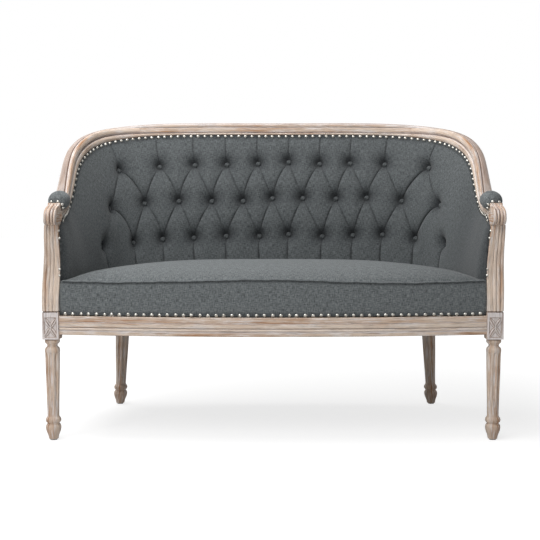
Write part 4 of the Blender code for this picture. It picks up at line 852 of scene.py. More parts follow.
def leg_block(work, top, carved):
    """The square block, slightly inside the carved faces where it has them."""
    made = bmesh.ops.create_cube(work, size=1.0)["verts"]
    bmesh.ops.scale(work, vec=(BLOCK_SIDE, BLOCK_SIDE, top - LEG_TOP), verts=made)
    bmesh.ops.translate(work, vec=(0.0, 0.0, (top + LEG_TOP) / 2.0), verts=made)
    if carved:
        for vertex in made:
            vertex.co.y = max(vertex.co.y, 0.0035 - BLOCK_SIDE / 2.0)
            vertex.co.x = min(vertex.co.x, BLOCK_SIDE / 2.0 - 0.0035)
    edges = list({edge for vertex in made for edge in vertex.link_edges})
    bmesh.ops.bevel(work, geom=edges, offset=0.0012, offset_type="OFFSET", segments=2, profile=0.5,
                    affect="EDGES", material=-1)
    grain = work.loops.layers.uv["grain"]
    for face in work.faces:
        for loop in face.loops:
            loop[grain].uv = (loop.vert.co.z, loop.vert.co.x + loop.vert.co.y)
    if carved:
        carved_face(work, 0.0)
        carved_face(work, math.pi / 2.0)


def leg(piece, node, top, place, carved=False, splay=0.0, swell=0.0):
    """A block and its turning, which may lean outwards and be fuller towards the top."""
    work = new_work()
    leg_block(work, top, carved)
    turn_leg(work)
    for vertex in work.verts:
        if vertex.co.z < LEG_TOP:
            vertex.co.xy *= 1.0 + swell * float(share_of(vertex.co.z, 0.08, 0.22))
            vertex.co.y += splay * (LEG_TOP - vertex.co.z) / LEG_TOP
    bmesh.ops.transform(work, matrix=place, verts=work.verts)
    pair(piece, node, work, SHOW_WOOD, "show_wood")


REAR_REACH, REAR_TURN = 0.54498, 5.746599
front_place = Matrix.Translation((LEG_X, LEG_Y, 0.0))
rear_place = Matrix.Translation((0.48399, 0.20123, 0.0)) @ Matrix.Rotation(REAR_TURN, 4, "Z")
leg("fluted_front_leg", "front_leg", RAIL_TOP + 0.010, front_place, carved=True)
leg("fluted_rear_leg", "rear_leg", RAIL_TOP, rear_place, splay=0.030, swell=0.08)

# %% [markdown]
# ## The plan of the tufts
#
# Deep buttoning is laid out on the flat cloth first: buttons in staggered rows, and folds from button to
# button. Here the flat plan is the wall rolled out, with reach across and height up. The buttons are listed
# one by one, a little uneven as on the real seat. Each fold bows slightly, because the upholsterer smooths
# every pleat downwards with a flat tool, and the folds to the left bow more.

# %% Buttons and folds
WALL_HEIGHT = 0.5385
BUTTON_ROWS = (
    # reach, share of the wall's height
    ((-0.5407, 0.8072), (-0.3837, 0.8030), (-0.2633, 0.8098), (-0.1591, 0.8127), (-0.0569, 0.8198),
     (0.0429, 0.8296), (0.1443, 0.8173), (0.2435, 0.8205), (0.3604, 0.8174), (0.5256, 0.8205)),
    ((-0.6360, 0.5975), (-0.4511, 0.5805), (-0.3213, 0.5853), (-0.2092, 0.5842), (-0.1061, 0.5856),
     (-0.0100, 0.6032), (0.0904, 0.6029), (0.1991, 0.6008), (0.3025, 0.6064), (0.4338, 0.5940), (0.6296, 0.6165)),
    ((-0.7310, 0.3950), (-0.5118, 0.3484), (-0.3878, 0.3591), (-0.2725, 0.3639), (-0.1633, 0.3735),
     (-0.0529, 0.3736), (0.0442, 0.3844), (0.1558, 0.3723), (0.2590, 0.3788), (0.3666, 0.3852),
     (0.5034, 0.3745), (0.7135, 0.4030)),
)
BUTTONS = [np.array(row) * (1.0, WALL_HEIGHT) for row in BUTTON_ROWS]
ALL_BUTTONS = np.concatenate(BUTTONS)
FOLD_POINTS, HEAD_POINTS, FOOT_POINTS, ROW_BOWS = 21, 17, 18, (0.060, 0.038)
VISIBLE_FOOT = 0.20 * WALL_HEIGHT


def clustered(count):
    """Shares from 0 to 1 that crowd towards both ends."""
    share = np.linspace(0.0, 1.0, count)
    return share - np.sin(2.0 * math.pi * share) / (2.0 * math.pi) * 0.88


def bowed(start, end, bow, shares):
    """A curve from one place to another, bowed to its left side by a share of its length."""
    along = end - start
    aside = np.array((along[1], -along[0])) * bow * 2.0
    middle = (start + end) / 2.0 + aside
    share = shares[:, None]
    return (1.0 - share) ** 2 * start + 2.0 * share * (1.0 - share) * middle + share ** 2 * end


def between_rows(row, step):
    """Folds from each button of a row down to a button of the next row."""
    lines = []
    for start, end in zip(BUTTONS[row], BUTTONS[row + 1][step:]):
        bow = ROW_BOWS[row] if step == 0 else 0.015 - 0.085 * share_of(-start[0], 0.15, 0.50)
        lines.append(bowed(start, end, bow, clustered(FOLD_POINTS)))
    return lines


DOWN_LEFT = [between_rows(row, 0) for row in (0, 1)]
DOWN_RIGHT = [between_rows(row, 1) for row in (0, 1)]
TO_RAIL, TO_SEAT = [], []
for button in BUTTONS[0]:
    lean = math.copysign(0.003 + 0.016 * (abs(button[0]) / 0.53) ** 4, button[0])
    head = np.array((button[0] + lean, WALL_HEIGHT))
    TO_RAIL.append(bowed(head, button, 0.02, clustered(HEAD_POINTS)))
for button in BUTTONS[2]:
    lean = math.copysign(0.002 + 0.012 * (abs(button[0]) / 0.71) ** 6, button[0])
    low = np.array((button[0] - lean, VISIBLE_FOOT))
    visible = bowed(button, low, 0.03, clustered(FOOT_POINTS))
    hidden = block_of(low[0], VISIBLE_FOOT * np.linspace(0.8, 0.0, 5))
    TO_SEAT.append(np.concatenate((visible, hidden)))
folds = sum(len(lines) for lines in (*DOWN_LEFT, *DOWN_RIGHT, TO_RAIL, TO_SEAT))
print(len(ALL_BUTTONS), "buttons,", folds, "folds")

# %% [markdown]
# ## How deep the cloth is drawn
#
# Between the buttons the stuffing pushes the cloth out, at a button the twine pulls it in, and along a fold
# one layer tucks under the next. So the depth at a place follows from its distance to the nearest fold,
# as a narrow crease in a wide valley, and from its distance to the nearest button. The same distances say
# how much shade is painted into the folds and round the buttons, and towards the right arm more painted
# shade darkens the whole wall.

# %% Depth of the folds
# the first two are painted shade: a base over the whole wall, and more towards the right arm
WALL_SHADE, ARM_SHADE, TACKED_EDGE, PLACES_AT_ONCE = 0.36, 0.27, 0.0085, 1500
FULL_SHARES = (0.00, 0.30, 0.48, 0.60, 0.75, 0.88, 1.00)
FULL_SIZES = (0.086, 0.092, 0.088, 0.076, 0.058, 0.042, 0.034)


def fold_segments():
    """Every fold cut into short straight pieces, each with a strength at its two ends."""
    pieces = []
    for row in (0, 1):
        for lines, plain, edge, gain in ((DOWN_LEFT[row], 0.72, 0, 1.0), (DOWN_RIGHT[row], 0.74, -1, 1.5)):
            strengths = [np.full(FOLD_POINTS, plain) for _ in lines]
            if row == 1:
                strengths[edge] = 0.10 + gain * np.linspace(0.0, 1.0, FOLD_POINTS) ** 3
            strengths[-1 - edge] *= 1.5
            pieces += zip(lines, strengths)
    pieces += [(line, np.linspace(0.42, 0.9, len(line))) for line in TO_RAIL]
    gains = [1.35] + [1.0] * (len(TO_SEAT) - 2) + [1.60]
    pieces += [(line, gain * np.linspace(0.95, 0.60, len(line))) for line, gain in zip(TO_SEAT, gains)]
    parts = [(line[:-1], line[1:], strength[:-1], strength[1:]) for line, strength in pieces]
    return [np.concatenate(part) for part in zip(*parts)]


SEGMENTS = fold_segments()


def drawn_in(flat):
    """Depth of the cloth, and how much shade is painted on it, at places on the flat plan."""
    start, end, first, last = SEGMENTS
    along = end - start
    length = np.maximum((along ** 2).sum(axis=1), 1e-12)
    parts = []
    for low in range(0, len(flat), PLACES_AT_ONCE):
        here = flat[low:low + PLACES_AT_ONCE, None]
        share = np.clip(((here - start) * along).sum(axis=2) / length, 0.0, 1.0)
        away = np.linalg.norm(here - start - share[..., None] * along, axis=2)
        strength = first + (last - first) * share
        crease = ((0.0050 * np.exp(-away / 0.0026) + 0.0055 * np.exp(-away / 0.014)) * strength).max(axis=1)
        # painted shade along each fold
        narrow = 0.78 * (strength * np.exp(-away / 0.0024)).max(axis=1)
        to_buttons = here - ALL_BUTTONS
        nearest = np.linalg.norm(to_buttons, axis=2).argmin(axis=1)
        across, above = to_buttons[np.arange(len(here)), nearest].T
        button = np.maximum(np.hypot(across, above) - 0.0065, 0.0)
        pull = 0.0130 * bell(button, 0.0100) + 0.0120 * bell(button, 0.030)
        # painted shade round and above each button
        button_shade = 0.80 * bell(np.hypot(across * 0.80, above), 0.0265)
        button_shade = button_shade + 0.17 * bell(np.hypot(across * 0.75, above - 0.010), 0.050)
        dark = np.clip((narrow ** 2 + button_shade ** 2) ** 0.5, 0.0, 0.95)
        parts.append(((crease ** 2.5 + pull ** 2.5) ** 0.4, dark))
    return [np.concatenate(part) for part in zip(*parts)]


def fullness(reach, share):
    """Thickness of the stuffing before buttoning: full at the seat, thin at the tacked edge."""
    full = np.interp(np.abs(reach) / HALF_REACH, FULL_SHARES, FULL_SIZES)
    thick = TACKED_EDGE + (full - TACKED_EDGE) * (1.0 - share_of(share, 0.25, 1.0) ** 2.2)
    ending = share_of(np.abs(reach), POST_REACH - 0.030, POST_REACH + 0.030)
    last = 0.0045 + 0.0052 * share_of(share, 0.80, 0.94)
    return thick + (last - thick) * ending ** 3.5


def wall_place(reach, share, thickness):
    """A place on the stuffing, by its thickness over the frame."""
    low = base_point(reach, 0.009 + thickness, 0.0026)
    high = rail_point(reach, inner_half(reach) - 0.009 + thickness, -0.021)
    return low + (high - low) * side_of(share)


def cloth_place(flat):
    """Where a place on the flat plan lies on the finished inside of the wall, and how much shade is painted on it.
    """
    reach, share = flat[:, 0], flat[:, 1] / WALL_HEIGHT
    depth, dark = drawn_in(flat)
    full = fullness(reach, share)
    depth = depth * share_of(full, 0.0062, 0.0242)
    # painted shade under the rail lip behind the nails, and beside the arm post
    under = 0.75 * share_of(flat[:, 1] / top_share(reach), WALL_HEIGHT - 0.0140, WALL_HEIGHT - 0.0100)
    beside = 0.40 * share_of(np.abs(reach), POST_REACH - 0.004, POST_REACH + 0.016)
    dark = np.maximum(np.maximum(dark, under), beside)
    # painted shade over the whole wall, growing towards the right arm
    shade = WALL_SHADE + ARM_SHADE * soft_share(reach, 0.72, 0.96)
    return wall_place(reach, share, full - depth), shade + (1.0 - shade) * dark


print(len(SEGMENTS[0]), "fold segments")

# %% [markdown]
# ## The buttoned inside
#
# One even grid over the whole wall would draw jagged folds. So the plan is cut into patches whose edges
# are the folds themselves: diamonds between three rows, tall cells up to the rail and down to the seat, and
# a plain sheet to each arm. Each patch is a grid blended from its four edge curves, and its lines crowd
# towards the folds. Neighbours share their edge points, so the patches merge into one cloth, which is then
# closed at the back.

# %% Patches from four edges
SHEET_END = POST_REACH + BLOCK_SIDE * 2.0 / 3.0


def marks(first, second):
    """Shares along two facing edges, as the mean of both."""
    first, second = travelled(first), travelled(second)
    return (first / first[-1] + second / second[-1]) / 2.0


def blended(top, bottom, left, right):
    """A block of places that fits its four edge lines, given from the same corner on."""
    x = marks(top, bottom)[None, :, None]
    y = marks(left, right)[:, None, None]
    across = (1.0 - y) * top[None] + y * bottom[None]
    down = (1.0 - x) * left[:, None] + x * right[:, None]
    corners = (1.0 - y) * ((1.0 - x) * top[0] + x * top[-1]) + y * ((1.0 - x) * bottom[0] + x * bottom[-1])
    return across + down - corners


def joined(*lines):
    """Lines end to end, without the doubled places."""
    return np.concatenate([lines[0]] + [line[1:] for line in lines[1:]])


def straight(start, end, shares):
    return np.asarray(start) + (np.asarray(end) - np.asarray(start)) * shares[:, None]


def patches():
    """The diamonds, the cells up to the rail and the cells down to the seat."""
    half = clustered(FOLD_POINTS) / 2.0
    twice = np.concatenate((half, 0.5 + half[1:]))
    made = []
    for i in range(10):
        made.append(blended(DOWN_RIGHT[0][i], DOWN_RIGHT[1][i], DOWN_LEFT[0][i], DOWN_LEFT[1][i + 1]))
    for i in range(9):
        top = straight(TO_RAIL[i][0], TO_RAIL[i + 1][0], twice)
        bottom = joined(DOWN_RIGHT[0][i], DOWN_LEFT[0][i + 1][::-1])
        made.append(blended(top, bottom, TO_RAIL[i], TO_RAIL[i + 1]))
    for i in range(11):
        top = joined(DOWN_LEFT[1][i][::-1], DOWN_RIGHT[1][i])
        bottom = straight(TO_SEAT[i][-1], TO_SEAT[i + 1][-1], twice)
        made.append(blended(top, bottom, TO_SEAT[i], TO_SEAT[i + 1]))
    return made


def outer_sheet(side):
    """The smooth cloth from the last buttons to the arm post."""
    last, down = (0, DOWN_LEFT) if side < 0 else (-1, DOWN_RIGHT)
    edge = joined(TO_RAIL[last], down[0][last], down[1][last], TO_SEAT[last])
    share = np.linspace(0.0, 1.0, 84) ** 1.35
    head = straight(edge[0], (side * SHEET_END, WALL_HEIGHT), share)
    head[:, 1] = WALL_HEIGHT * top_share(head[:, 0])
    foot = straight(edge[-1], (side * SHEET_END, 0.0), share)
    far = straight(head[-1], foot[-1], travelled(edge) / travelled(edge)[-1])
    return blended(head, foot, edge, far)


ALL_PATCHES = patches() + [outer_sheet(-1.0), outer_sheet(1.0)]
print(len(ALL_PATCHES), "patches,", sum(patch[..., 0].size for patch in ALL_PATCHES), "places")


# %% Sew the patches and close the back
def back_place(reach, height):
    """The matching place on the frame side, kept beside the arm post at the ends."""
    point = wall_place(reach, height / WALL_HEIGHT, 0.0)
    if abs(reach) > POST_REACH:
        point[0] = math.copysign(0.5735 + 0.0066 * share_of(point[2], 0.550, 0.580), reach)
    return point


def buttoned_wall():
    """All patches in one mesh. The rim remembers its places on the plan, and the back is closed from them."""
    work = new_work()
    for patch in ALL_PATCHES:
        shape = patch.shape[:2]
        places, dark = cloth_place(patch.reshape(-1, 2))
        lay(work, places.reshape(*shape, 3), carve=dark.reshape(shape), flat=patch)
    bmesh.ops.remove_doubles(work, verts=work.verts, dist=2e-5)
    grain = work.loops.layers.uv["grain"]
    rims = [edge for edge in work.edges if edge.is_boundary]
    plan = {}
    for edge in rims:
        loop = edge.link_loops[0]
        for end in (loop, loop.link_loop_next):
            plan[end.vert] = end[grain].uv.copy()
    grown = bmesh.ops.extrude_edge_only(work, edges=rims)["geom"]
    back = [item for item in grown if isinstance(item, bmesh.types.BMEdge) and item.is_boundary]
    fronts = {}
    for vertex in {vertex for edge in back for vertex in edge.verts}:
        for edge in vertex.link_edges:
            other = edge.other_vert(vertex)
            if other in plan and (vertex.co - other.co).length < 1e-7:
                fronts[vertex] = plan[other]
    for vertex, front in fronts.items():
        vertex.co = back_place(*front)
    tops = [edge for edge in back if all(fronts[vertex][1] > 0.89 * WALL_HEIGHT for vertex in edge.verts)]
    foots = [edge for edge in back if all(fronts[vertex][1] < 1e-6 for vertex in edge.verts)]
    bmesh.ops.bridge_loops(work, edges=tops + foots)
    bmesh.ops.holes_fill(work, edges=[edge for edge in work.edges if edge.is_boundary], sides=0)
    return work


wall = show("buttoned_inside", buttoned_wall(), LINEN, "cover_cloth", "inside_back", "inside_arm_right",
            "inside_arm_left")

# %% [markdown]
# ## Covered buttons
#
# A covered button is a tin cap under a scrap of the same linen, pulled in by twine. Its dome is a quarter
# outline spun round, and one dome is then repeated at every place of the plan, facing into the seat and
# slightly below the middle of its hollow.

# %% Buttons
BUTTON_LIFT, BUTTON_DROP, DOME_PAINTED_SHADE = 0.0034, 0.0022, 0.50
BUTTON_OUTLINE = ((0.0, 0.0052), (0.0030, 0.0049), (0.0056, 0.0038), (0.0073, 0.0020), (0.0080, -0.0004),
                  (0.0074, -0.0026), (0.0058, -0.0042), (0.0, -0.0046))


def dome(profile, steps, name):
    """A small turned shape, closed at its crown and its back."""
    work = new_work()
    spun(work, profile, steps)
    bmesh.ops.recalc_face_normals(work, faces=work.faces)
    grain = work.loops.layers.uv["grain"]
    carve_shading_layer = work.verts.layers.float["carve"]
    for vertex in work.verts:
        # painted shade over the whole dome; the pewter of the nails does not read it
        vertex[carve_shading_layer] = DOME_PAINTED_SHADE
        for loop in vertex.link_loops:
            loop[grain].uv = vertex.co.xy
    mesh = bpy.data.meshes.new(name)
    work.to_mesh(mesh)
    work.free()
    return mesh


def repeated(pattern, places):
    """Copies of a small mesh at many places, in one bmesh."""
    work = bmesh.new()
    for place in places:
        before = len(work.verts)
        work.from_mesh(pattern)
        work.verts.ensure_lookup_table()
        bmesh.ops.transform(work, matrix=place, verts=work.verts[before:])
    bpy.data.meshes.remove(pattern)
    return work


def facing(point, outward, size=1.0):
    """A place with its Z axis turned along a direction."""
    turn = Vector(outward).to_track_quat("Z", "Y").to_matrix().to_4x4()
    return Matrix.Translation(Vector(point)) @ turn @ Matrix.Scale(size, 4)


def surface_frames(flat, lift, step=0.012):
    """Places on the cloth with the direction that each faces."""
    reach, share, rise = flat[:, 0], flat[:, 1] / WALL_HEIGHT, step / WALL_HEIGHT
    full = fullness(reach, share)
    right, left = [wall_place(reach + move, share, full) for move in (step, -step)]
    high, low = [wall_place(reach, share + move, fullness(reach, share + move)) for move in (rise, -rise)]
    outward = unit(np.cross(right - left, high - low))
    return cloth_place(flat)[0] + outward * lift, outward


places, outward = surface_frames(ALL_BUTTONS, BUTTON_LIFT)
places[:, 2] -= BUTTON_DROP
spots = [facing(point, way) for point, way in zip(places, outward)]
show("covered_buttons", repeated(dome(BUTTON_OUTLINE, 20, "button_dome"), spots), LINEN, "cover_cloth")

# %% [markdown]
# ## Seat
#
# The seat is a tight one: springs and stuffing under one cover, with a piped edge and a plain band below it
# in front. It is made of rings, all with the same plan outline. The lower rings are the band, which is
# drawn in at top and bottom, and the upper rings shrink towards the middle while they rise to the crown.

# %% Outline and rings of the seat
SEAT_FLOOR, SEAT_EDGE, SEAT_CROWN, SEAT_MIDDLE, SEAT_PROUD = 0.3436, 0.437, 0.034, -0.060, 0.005
SEAT_CORNER, SEAT_NOOK = BLOCK_INNER - 0.005, LEG_Y - BLOCK_SIDE * 0.3
BAND_TOP, BAND_STEPS, CROWN_STEPS, SEAT_SHADE = SEAT_EDGE - 0.0062, 14, 33, 0.24
EDGE_DIPS = np.array((
    # across in m, height in mm
    (-0.57, -4.3), (-0.50, -5.2), (-0.43, -6.2), (-0.36, -4.5), (-0.28, -2.7), (-0.19, -0.9), (-0.10, 1.8),
    (0.00, 2.6), (0.08, 1.2), (0.16, -2.0), (0.24, -4.8), (0.32, -6.6), (0.39, -7.2), (0.46, -5.6),
    (0.52, -4.4), (0.57, -3.2),
))
EDGE_LINE = smooth_line(EDGE_DIPS[:, 0], EDGE_DIPS[:, 1:])
EDGE_ROLL = (
    # drop below the edge, inset
    (0.0040, 0.0050), (0.0020, 0.0062), (-0.0010, 0.0062), (-0.0036, 0.0056), (-0.0056, 0.0066),
)


def edge_wave(x):
    """The piped edge dips on each side of the middle, as hand-sewn edges do."""
    return EDGE_LINE(x)[..., 0] / 1000.0 + 0.0004 * np.sin(x * 61.0) + 0.0003 * np.sin(x * 143.0 + 1.0)


def seat_outline(z):
    """Plan of the seat at one height: inside the wall, and bowed in front."""
    reach = steps_between(-SHEET_END, SHEET_END, 0.010)
    share = (z - SEAT_FLOOR) / (rail_point(reach, 0.0, -0.021)[:, 2] - SEAT_FLOOR)
    around = wall_place(reach, share, fullness(reach, 0.0) + 0.0015)
    front = np.linspace(SEAT_CORNER, -SEAT_CORNER, 150)
    face = block_of(front, front_face_y(front) + SEAT_PROUD, z)
    nooks = np.array(((SEAT_CORNER, SEAT_NOOK, z), (-SEAT_CORNER, SEAT_NOOK, z)))
    return np.concatenate((around, nooks[:1], face, nooks[1:]))


def seat_ring(z, scale, rise, wave=0.0):
    """The outline, shrunk towards the middle and raised, but less in the front corners."""
    outline = seat_outline(z)
    middle = np.array((0.0, SEAT_MIDDLE, 0.0))
    ring = middle + (outline - middle) * scale
    corner = bell(np.abs(ring[:, 0]) - 0.574, 0.036) * bell(ring[:, 1] + 0.290, 0.060)
    if rise > 0.0:
        rise = rise * (1.0 - 0.9 * corner)
    ring[:, 2] = z + rise + wave * edge_wave(outline[:, 0]) * share_of(-outline[:, 1], 0.20, 0.26)
    return ring


def seat_rings():
    """Rings from the middle of the floor up the band and over the crown, and how much shade is painted on each."""
    rings, painted_ring_shades = [seat_ring(SEAT_FLOOR, scale, 0.0) for scale in (0.05, 0.97)], [0.0, 0.0]
    for share in np.linspace(0.0, 1.0, BAND_STEPS):
        scale = 1.0 - 0.004 / BLOCK_INNER * (1.0 - math.sin(math.pi * share) ** 0.6)
        rings.append(seat_ring(SEAT_FLOOR + (BAND_TOP - SEAT_FLOOR) * share, scale, 0.0, wave=share))
        # painted shade at the foot of the band, round the front nails
        painted_ring_shades.append(0.55 * (share < 0.10))
    for drop, inset in EDGE_ROLL:
        rings.append(seat_ring(SEAT_EDGE, 1.0 - inset / BLOCK_INNER, -drop, wave=1.0))
        # painted shade under the piping
        painted_ring_shades.append(0.35 if drop > 0.001 else 0.0)
    for step in range(1, CROWN_STEPS + 1):
        scale = (1.0 - step / CROWN_STEPS) * (1.0 - 0.0085)
        crown = SEAT_CROWN * (1.0 - scale ** 3.4)
        rings.append(seat_ring(SEAT_EDGE, max(scale, 0.004), 0.0064 + crown, wave=scale ** 6))
        # painted shade towards the outer rings of the crown
        painted_ring_shades.append(0.20 * scale ** 6)
    return np.array(rings), np.array(painted_ring_shades)


rings, painted_ring_shades = seat_rings()
band = BAND_STEPS + 2
flat = rings[..., :2].copy()
flat[:band] = block_of(travelled(rings[10]), rings[:band, :, 2])
flat = np.concatenate((flat, flat[:, :1]), axis=1)
# painted shade, growing towards the right end of the seat top
shade = SEAT_SHADE * share_of(rings[..., 0], 0.20, 0.54) ** 1.5
shade[:band + 4] = 0.0
work = skin(rings, carve=painted_ring_shades[:, None] + shade, flat=flat)
seat = show("tight_seat", work, LINEN, "cover_cloth", "seat_cushion")
print("seat crown at", round(float(rings[..., 2].max()), 3), "m")

# %% [markdown]
# ## Piping
#
# The piping is a cord in a folded strip of linen, sewn into the front edge. It follows the same wave as the
# edge of the seat, and it is a thin skin of round sections, with a highlight painted on top and shade painted
# underneath.

# %% Piping
def tube(line, radius, turn):
    """Round sections square to a line."""
    along = unit(np.gradient(line, axis=0))
    aside = unit(np.cross(along, UP))
    above = np.cross(aside, along)
    ring = aside[:, None] * side_of(np.cos(turn)) + above[:, None] * side_of(np.sin(turn))
    return line[:, None] + radius * ring


x = np.linspace(-SEAT_CORNER + 0.004, SEAT_CORNER - 0.004, 220)
scale = 1.0 - 0.0072 / BLOCK_INNER
y = SEAT_MIDDLE + (front_face_y(x / scale) + SEAT_PROUD - SEAT_MIDDLE) * scale - 0.0006
line = block_of(x, y, SEAT_EDGE + 0.0018 + edge_wave(x / scale))
turn = np.linspace(0.0, 2.0 * math.pi, 13)[:-1]
# painted highlight on the top of the cord and painted shade underneath
work = skin(tube(line, 0.0030, turn), carve=0.35 - 0.65 * np.sin(turn), shift=2.2)
piping = show("front_piping", work, LINEN, "cover_cloth", "seat_piping")

# %% [markdown]
# ## Arm pads
#
# Each arm has a small stuffed pad under its own cover, nailed to the rail at its lower edge. The pad is
# domed across, and its front end is nearly a ball. Sections along the arm get narrower and lower towards
# both ends, by the same rule as a quarter circle.

# %% Arm pads
PAD_START, PAD_END, PAD_WIDE, PAD_TALL = WING_END + 0.003, POST_REACH + 0.0095, 0.0278, 0.0264


def pad_rows():
    """Sections like a ball on a narrow foot, smaller towards the back end."""
    turn = np.radians(np.linspace(-62.0, 218.0, 39))
    foot = np.linspace(0.0, 1.0, 7)[1:-1]
    narrow = PAD_END - 0.050
    rows = []
    for place in PAD_START + (PAD_END - PAD_START) * clustered(44):
        size = 1.0 - 0.42 * share_of(narrow - place, 0.0, narrow - PAD_START) ** 1.3
        near = min((place - PAD_START) / 0.022, (PAD_END - place) / 0.030, 1.0)
        full = size * (0.22 + 0.78 * (1.0 - (1.0 - near) ** 2.2) ** 0.5)
        across = PAD_WIDE * full * np.cos(turn) - 0.0010 * size
        height = PAD_TALL * full * (np.sin(turn) + 0.669) + 0.0020 + 0.0085 * (1.0 - full / size)
        across, height = [np.concatenate((part, part[-1] + (part[0] - part[-1]) * foot))
                          for part in (across, height)]
        rows.append(rail_point(place, across, height))
    return np.array(rows)


rows = pad_rows()
pair("stuffed_arm_pad", "arm_pad", skin(rows, shift=4.4), LINEN, "cover_cloth")

# %% [markdown]
# ## Outside covers
#
# The outside of the back and arms is plain linen over a thin layer of wadding, tacked all round. So each
# cover is a thin closed skin that swells a little between its edges.

# %% Outside covers
PAD_JOINT, COVER_THICK, COVER_SWELL = 0.77514, 0.005, 0.0022


def cover_rows(first, last):
    """Rows up the swelled outer face of a cover and down its flat inner face."""
    reach = steps_between(first + JOINT, last - JOINT, 0.009)
    flare = half_thickness(reach) - WING_HALF
    up = np.linspace(0.0, 1.0, 30)
    rows = []
    for inset, swell, shares in ((0.0, COVER_SWELL, up), (COVER_THICK, 0.0, up[::-1])):
        for share in shares:
            puffed = inset - RAIL_PROUD - swell * math.sin(math.pi * share) ** 0.5
            low = base_point(reach, puffed, 0.0003)
            rows.append(low + (rail_point(reach, puffed - flare, -0.035) - low) * share)
    return np.array(rows).transpose(1, 0, 2)


work = skin(cover_rows(-PAD_JOINT, PAD_JOINT))
show("outside_back_cover", work, LINEN, "cover_cloth", "outside_back")
work = skin(cover_rows(PAD_JOINT, POST_REACH))
pair("outside_arm_cover", "outside_arm", work, LINEN, "cover_cloth")

# %% [markdown]
# ## Nail heads
#
# Domed nails close together hold the edge of the cloth and also decorate it. One head has a few dozen
# faces, because it is repeated about two hundred times, and each is set on the cloth it holds.

# %% Nail heads
NAIL_OUTLINE = ((0.0, 0.0034), (0.0028, 0.0029), (0.0047, 0.0016), (0.0056, 0.0), (0.0049, -0.0010), (0.0, -0.0012))
NAIL_PITCH, FRONT_NAILS, FRONT_NAIL_END = 0.0218, 53, 0.560
PAD_NAILS = ((0.6060, 0.6475), (0.5880, 0.6475), (0.5762, 0.6395), (0.5748, 0.6300))
POST_NAILS = ((0.5800, 0.570), (0.5776, 0.5505), (0.5752, 0.4665), (0.5752, 0.4497))
chance = np.random.default_rng(7)


def nails(name, spots):
    """Heads of slightly different sizes at the given places."""
    spots = [spot @ Matrix.Scale(float(chance.uniform(0.94, 1.06)), 4) for spot in spots]
    show(name, repeated(dome(NAIL_OUTLINE, 10, name + "_head"), spots), PEWTER, "show_wood")


reach = steps_between(-POST_REACH + 0.006, POST_REACH - 0.006, NAIL_PITCH)
reach = reach + chance.normal(0.0, 0.0006, len(reach))
places = cloth_place(block_of(reach, WALL_HEIGHT * top_share(reach) - 0.0048))[0]
outward = unit(rail_point(reach, 0.01, 0.0) - rail_point(reach, 0.0, 0.0))
nails("wall_nails", [facing(point, way) for point, way in zip(places, outward)])

x = np.linspace(-FRONT_NAIL_END, FRONT_NAIL_END, FRONT_NAILS) + chance.normal(0.0, 0.0010, FRONT_NAILS)
places = block_of(x, front_face_y(x) + 0.0078, 0.3470 + chance.normal(0.0, 0.0004, FRONT_NAILS))
outward = block_of(2.0 * RAIL_BOW * x / BLOCK_INNER ** 2, -1.0, 0.22)
nails("front_nails", [facing(point, way) for point, way in zip(places, outward)])

pad_skin = rows.reshape(-1, 3)
spots = []
for x, z in PAD_NAILS:
    near = pad_skin[np.hypot(pad_skin[:, 0] - x, pad_skin[:, 2] - z) < 0.005]
    y = near[:, 1].min()
    way = unit(np.array((x - 0.5885, y + 0.240, (z - 0.655) * 0.6)))
    spots += [facing((side * x, y, z), (side * way[0], way[1], way[2]), 0.85) for side in (-1.0, 1.0)]
nails("pad_nails", spots)
spots = [facing((side * x, LEG_Y - 0.0135, z), (-side * 0.5, -1.0, 0.0), 0.66)
         for side in (-1.0, 1.0) for x, z in POST_NAILS]
nails("post_nails", spots)

# %% [markdown]
# ## Webbing under the seat
#
# Jute straps are stretched over the seat rails in two directions, over and under each other. Each strap is
# a thin skin with a small wave at every crossing.

# %% Webbing
STRAP_WIDTH, STRAP_HALF_THICK, STRAP_WAVE, WEB_Z = 0.052, 0.00042, 0.00048, RAIL_TOP + 0.0014
WEB_HALF = BLOCK_INNER - 0.075


def back_limit(x):
    """Where a strap at one place across the seat meets the rear rail."""
    reach = np.linspace(0.0, HALF_REACH / 2.0, 400)
    place = np.interp(abs(x), base_point(reach, 0.009)[:, 0], reach)
    return base_point(place, RAIL_INNER - 0.010)[1]


def web_place(x, share):
    """A place under the seat, by how far it is from the front rail to the rear one."""
    low = front_face_y(x) + 0.020
    return x, low + (back_limit(x) - low) * share, WEB_Z


def strap(work, line, crossings, first):
    """One strap along a line, waving over and under at the crossings."""
    share = np.linspace(0.0, 1.0, len(line))
    wave = np.zeros(len(share))
    for number, place in enumerate(crossings):
        sign = first if number % 2 else -first
        wave += sign * STRAP_WAVE * np.exp(-(((share - place) / (0.30 / (len(crossings) + 1))) ** 4))
    line = np.array(line) + UP * side_of(wave)
    aside = unit(np.cross(np.gradient(line, axis=0), UP)) * STRAP_WIDTH / 2.0
    thick = UP * STRAP_HALF_THICK
    ring = [line - aside - thick, line + aside - thick, line + aside + thick, line - aside + thick]
    lay(work, np.array(ring).transpose(1, 0, 2), ring=True, caps=True)


lengthwise = np.linspace(-1.0, 1.0, 7) * (BLOCK_INNER - 0.101)
depth = base_point(0.0, RAIL_INNER)[1] - front_face_y(0.0)
crosswise = (np.linspace(0.0, depth - STRAP_WIDTH, 3) + STRAP_WIDTH / 2.0) / depth
work = new_work()
for number, x in enumerate(lengthwise):
    line = [web_place(x, share) for share in np.linspace(0.0, 1.0, 60)]
    strap(work, line, crosswise, 1.0 if number % 2 else -1.0)
for number, share in enumerate(crosswise):
    line = [web_place(x, share) for x in np.linspace(-WEB_HALF, WEB_HALF, 120)]
    strap(work, line, 0.5 + lengthwise / (2.0 * WEB_HALF), -1.0 if number % 2 else 1.0)
show("woven_webbing", work, WEBBING, "webbing", "seat_webbing")

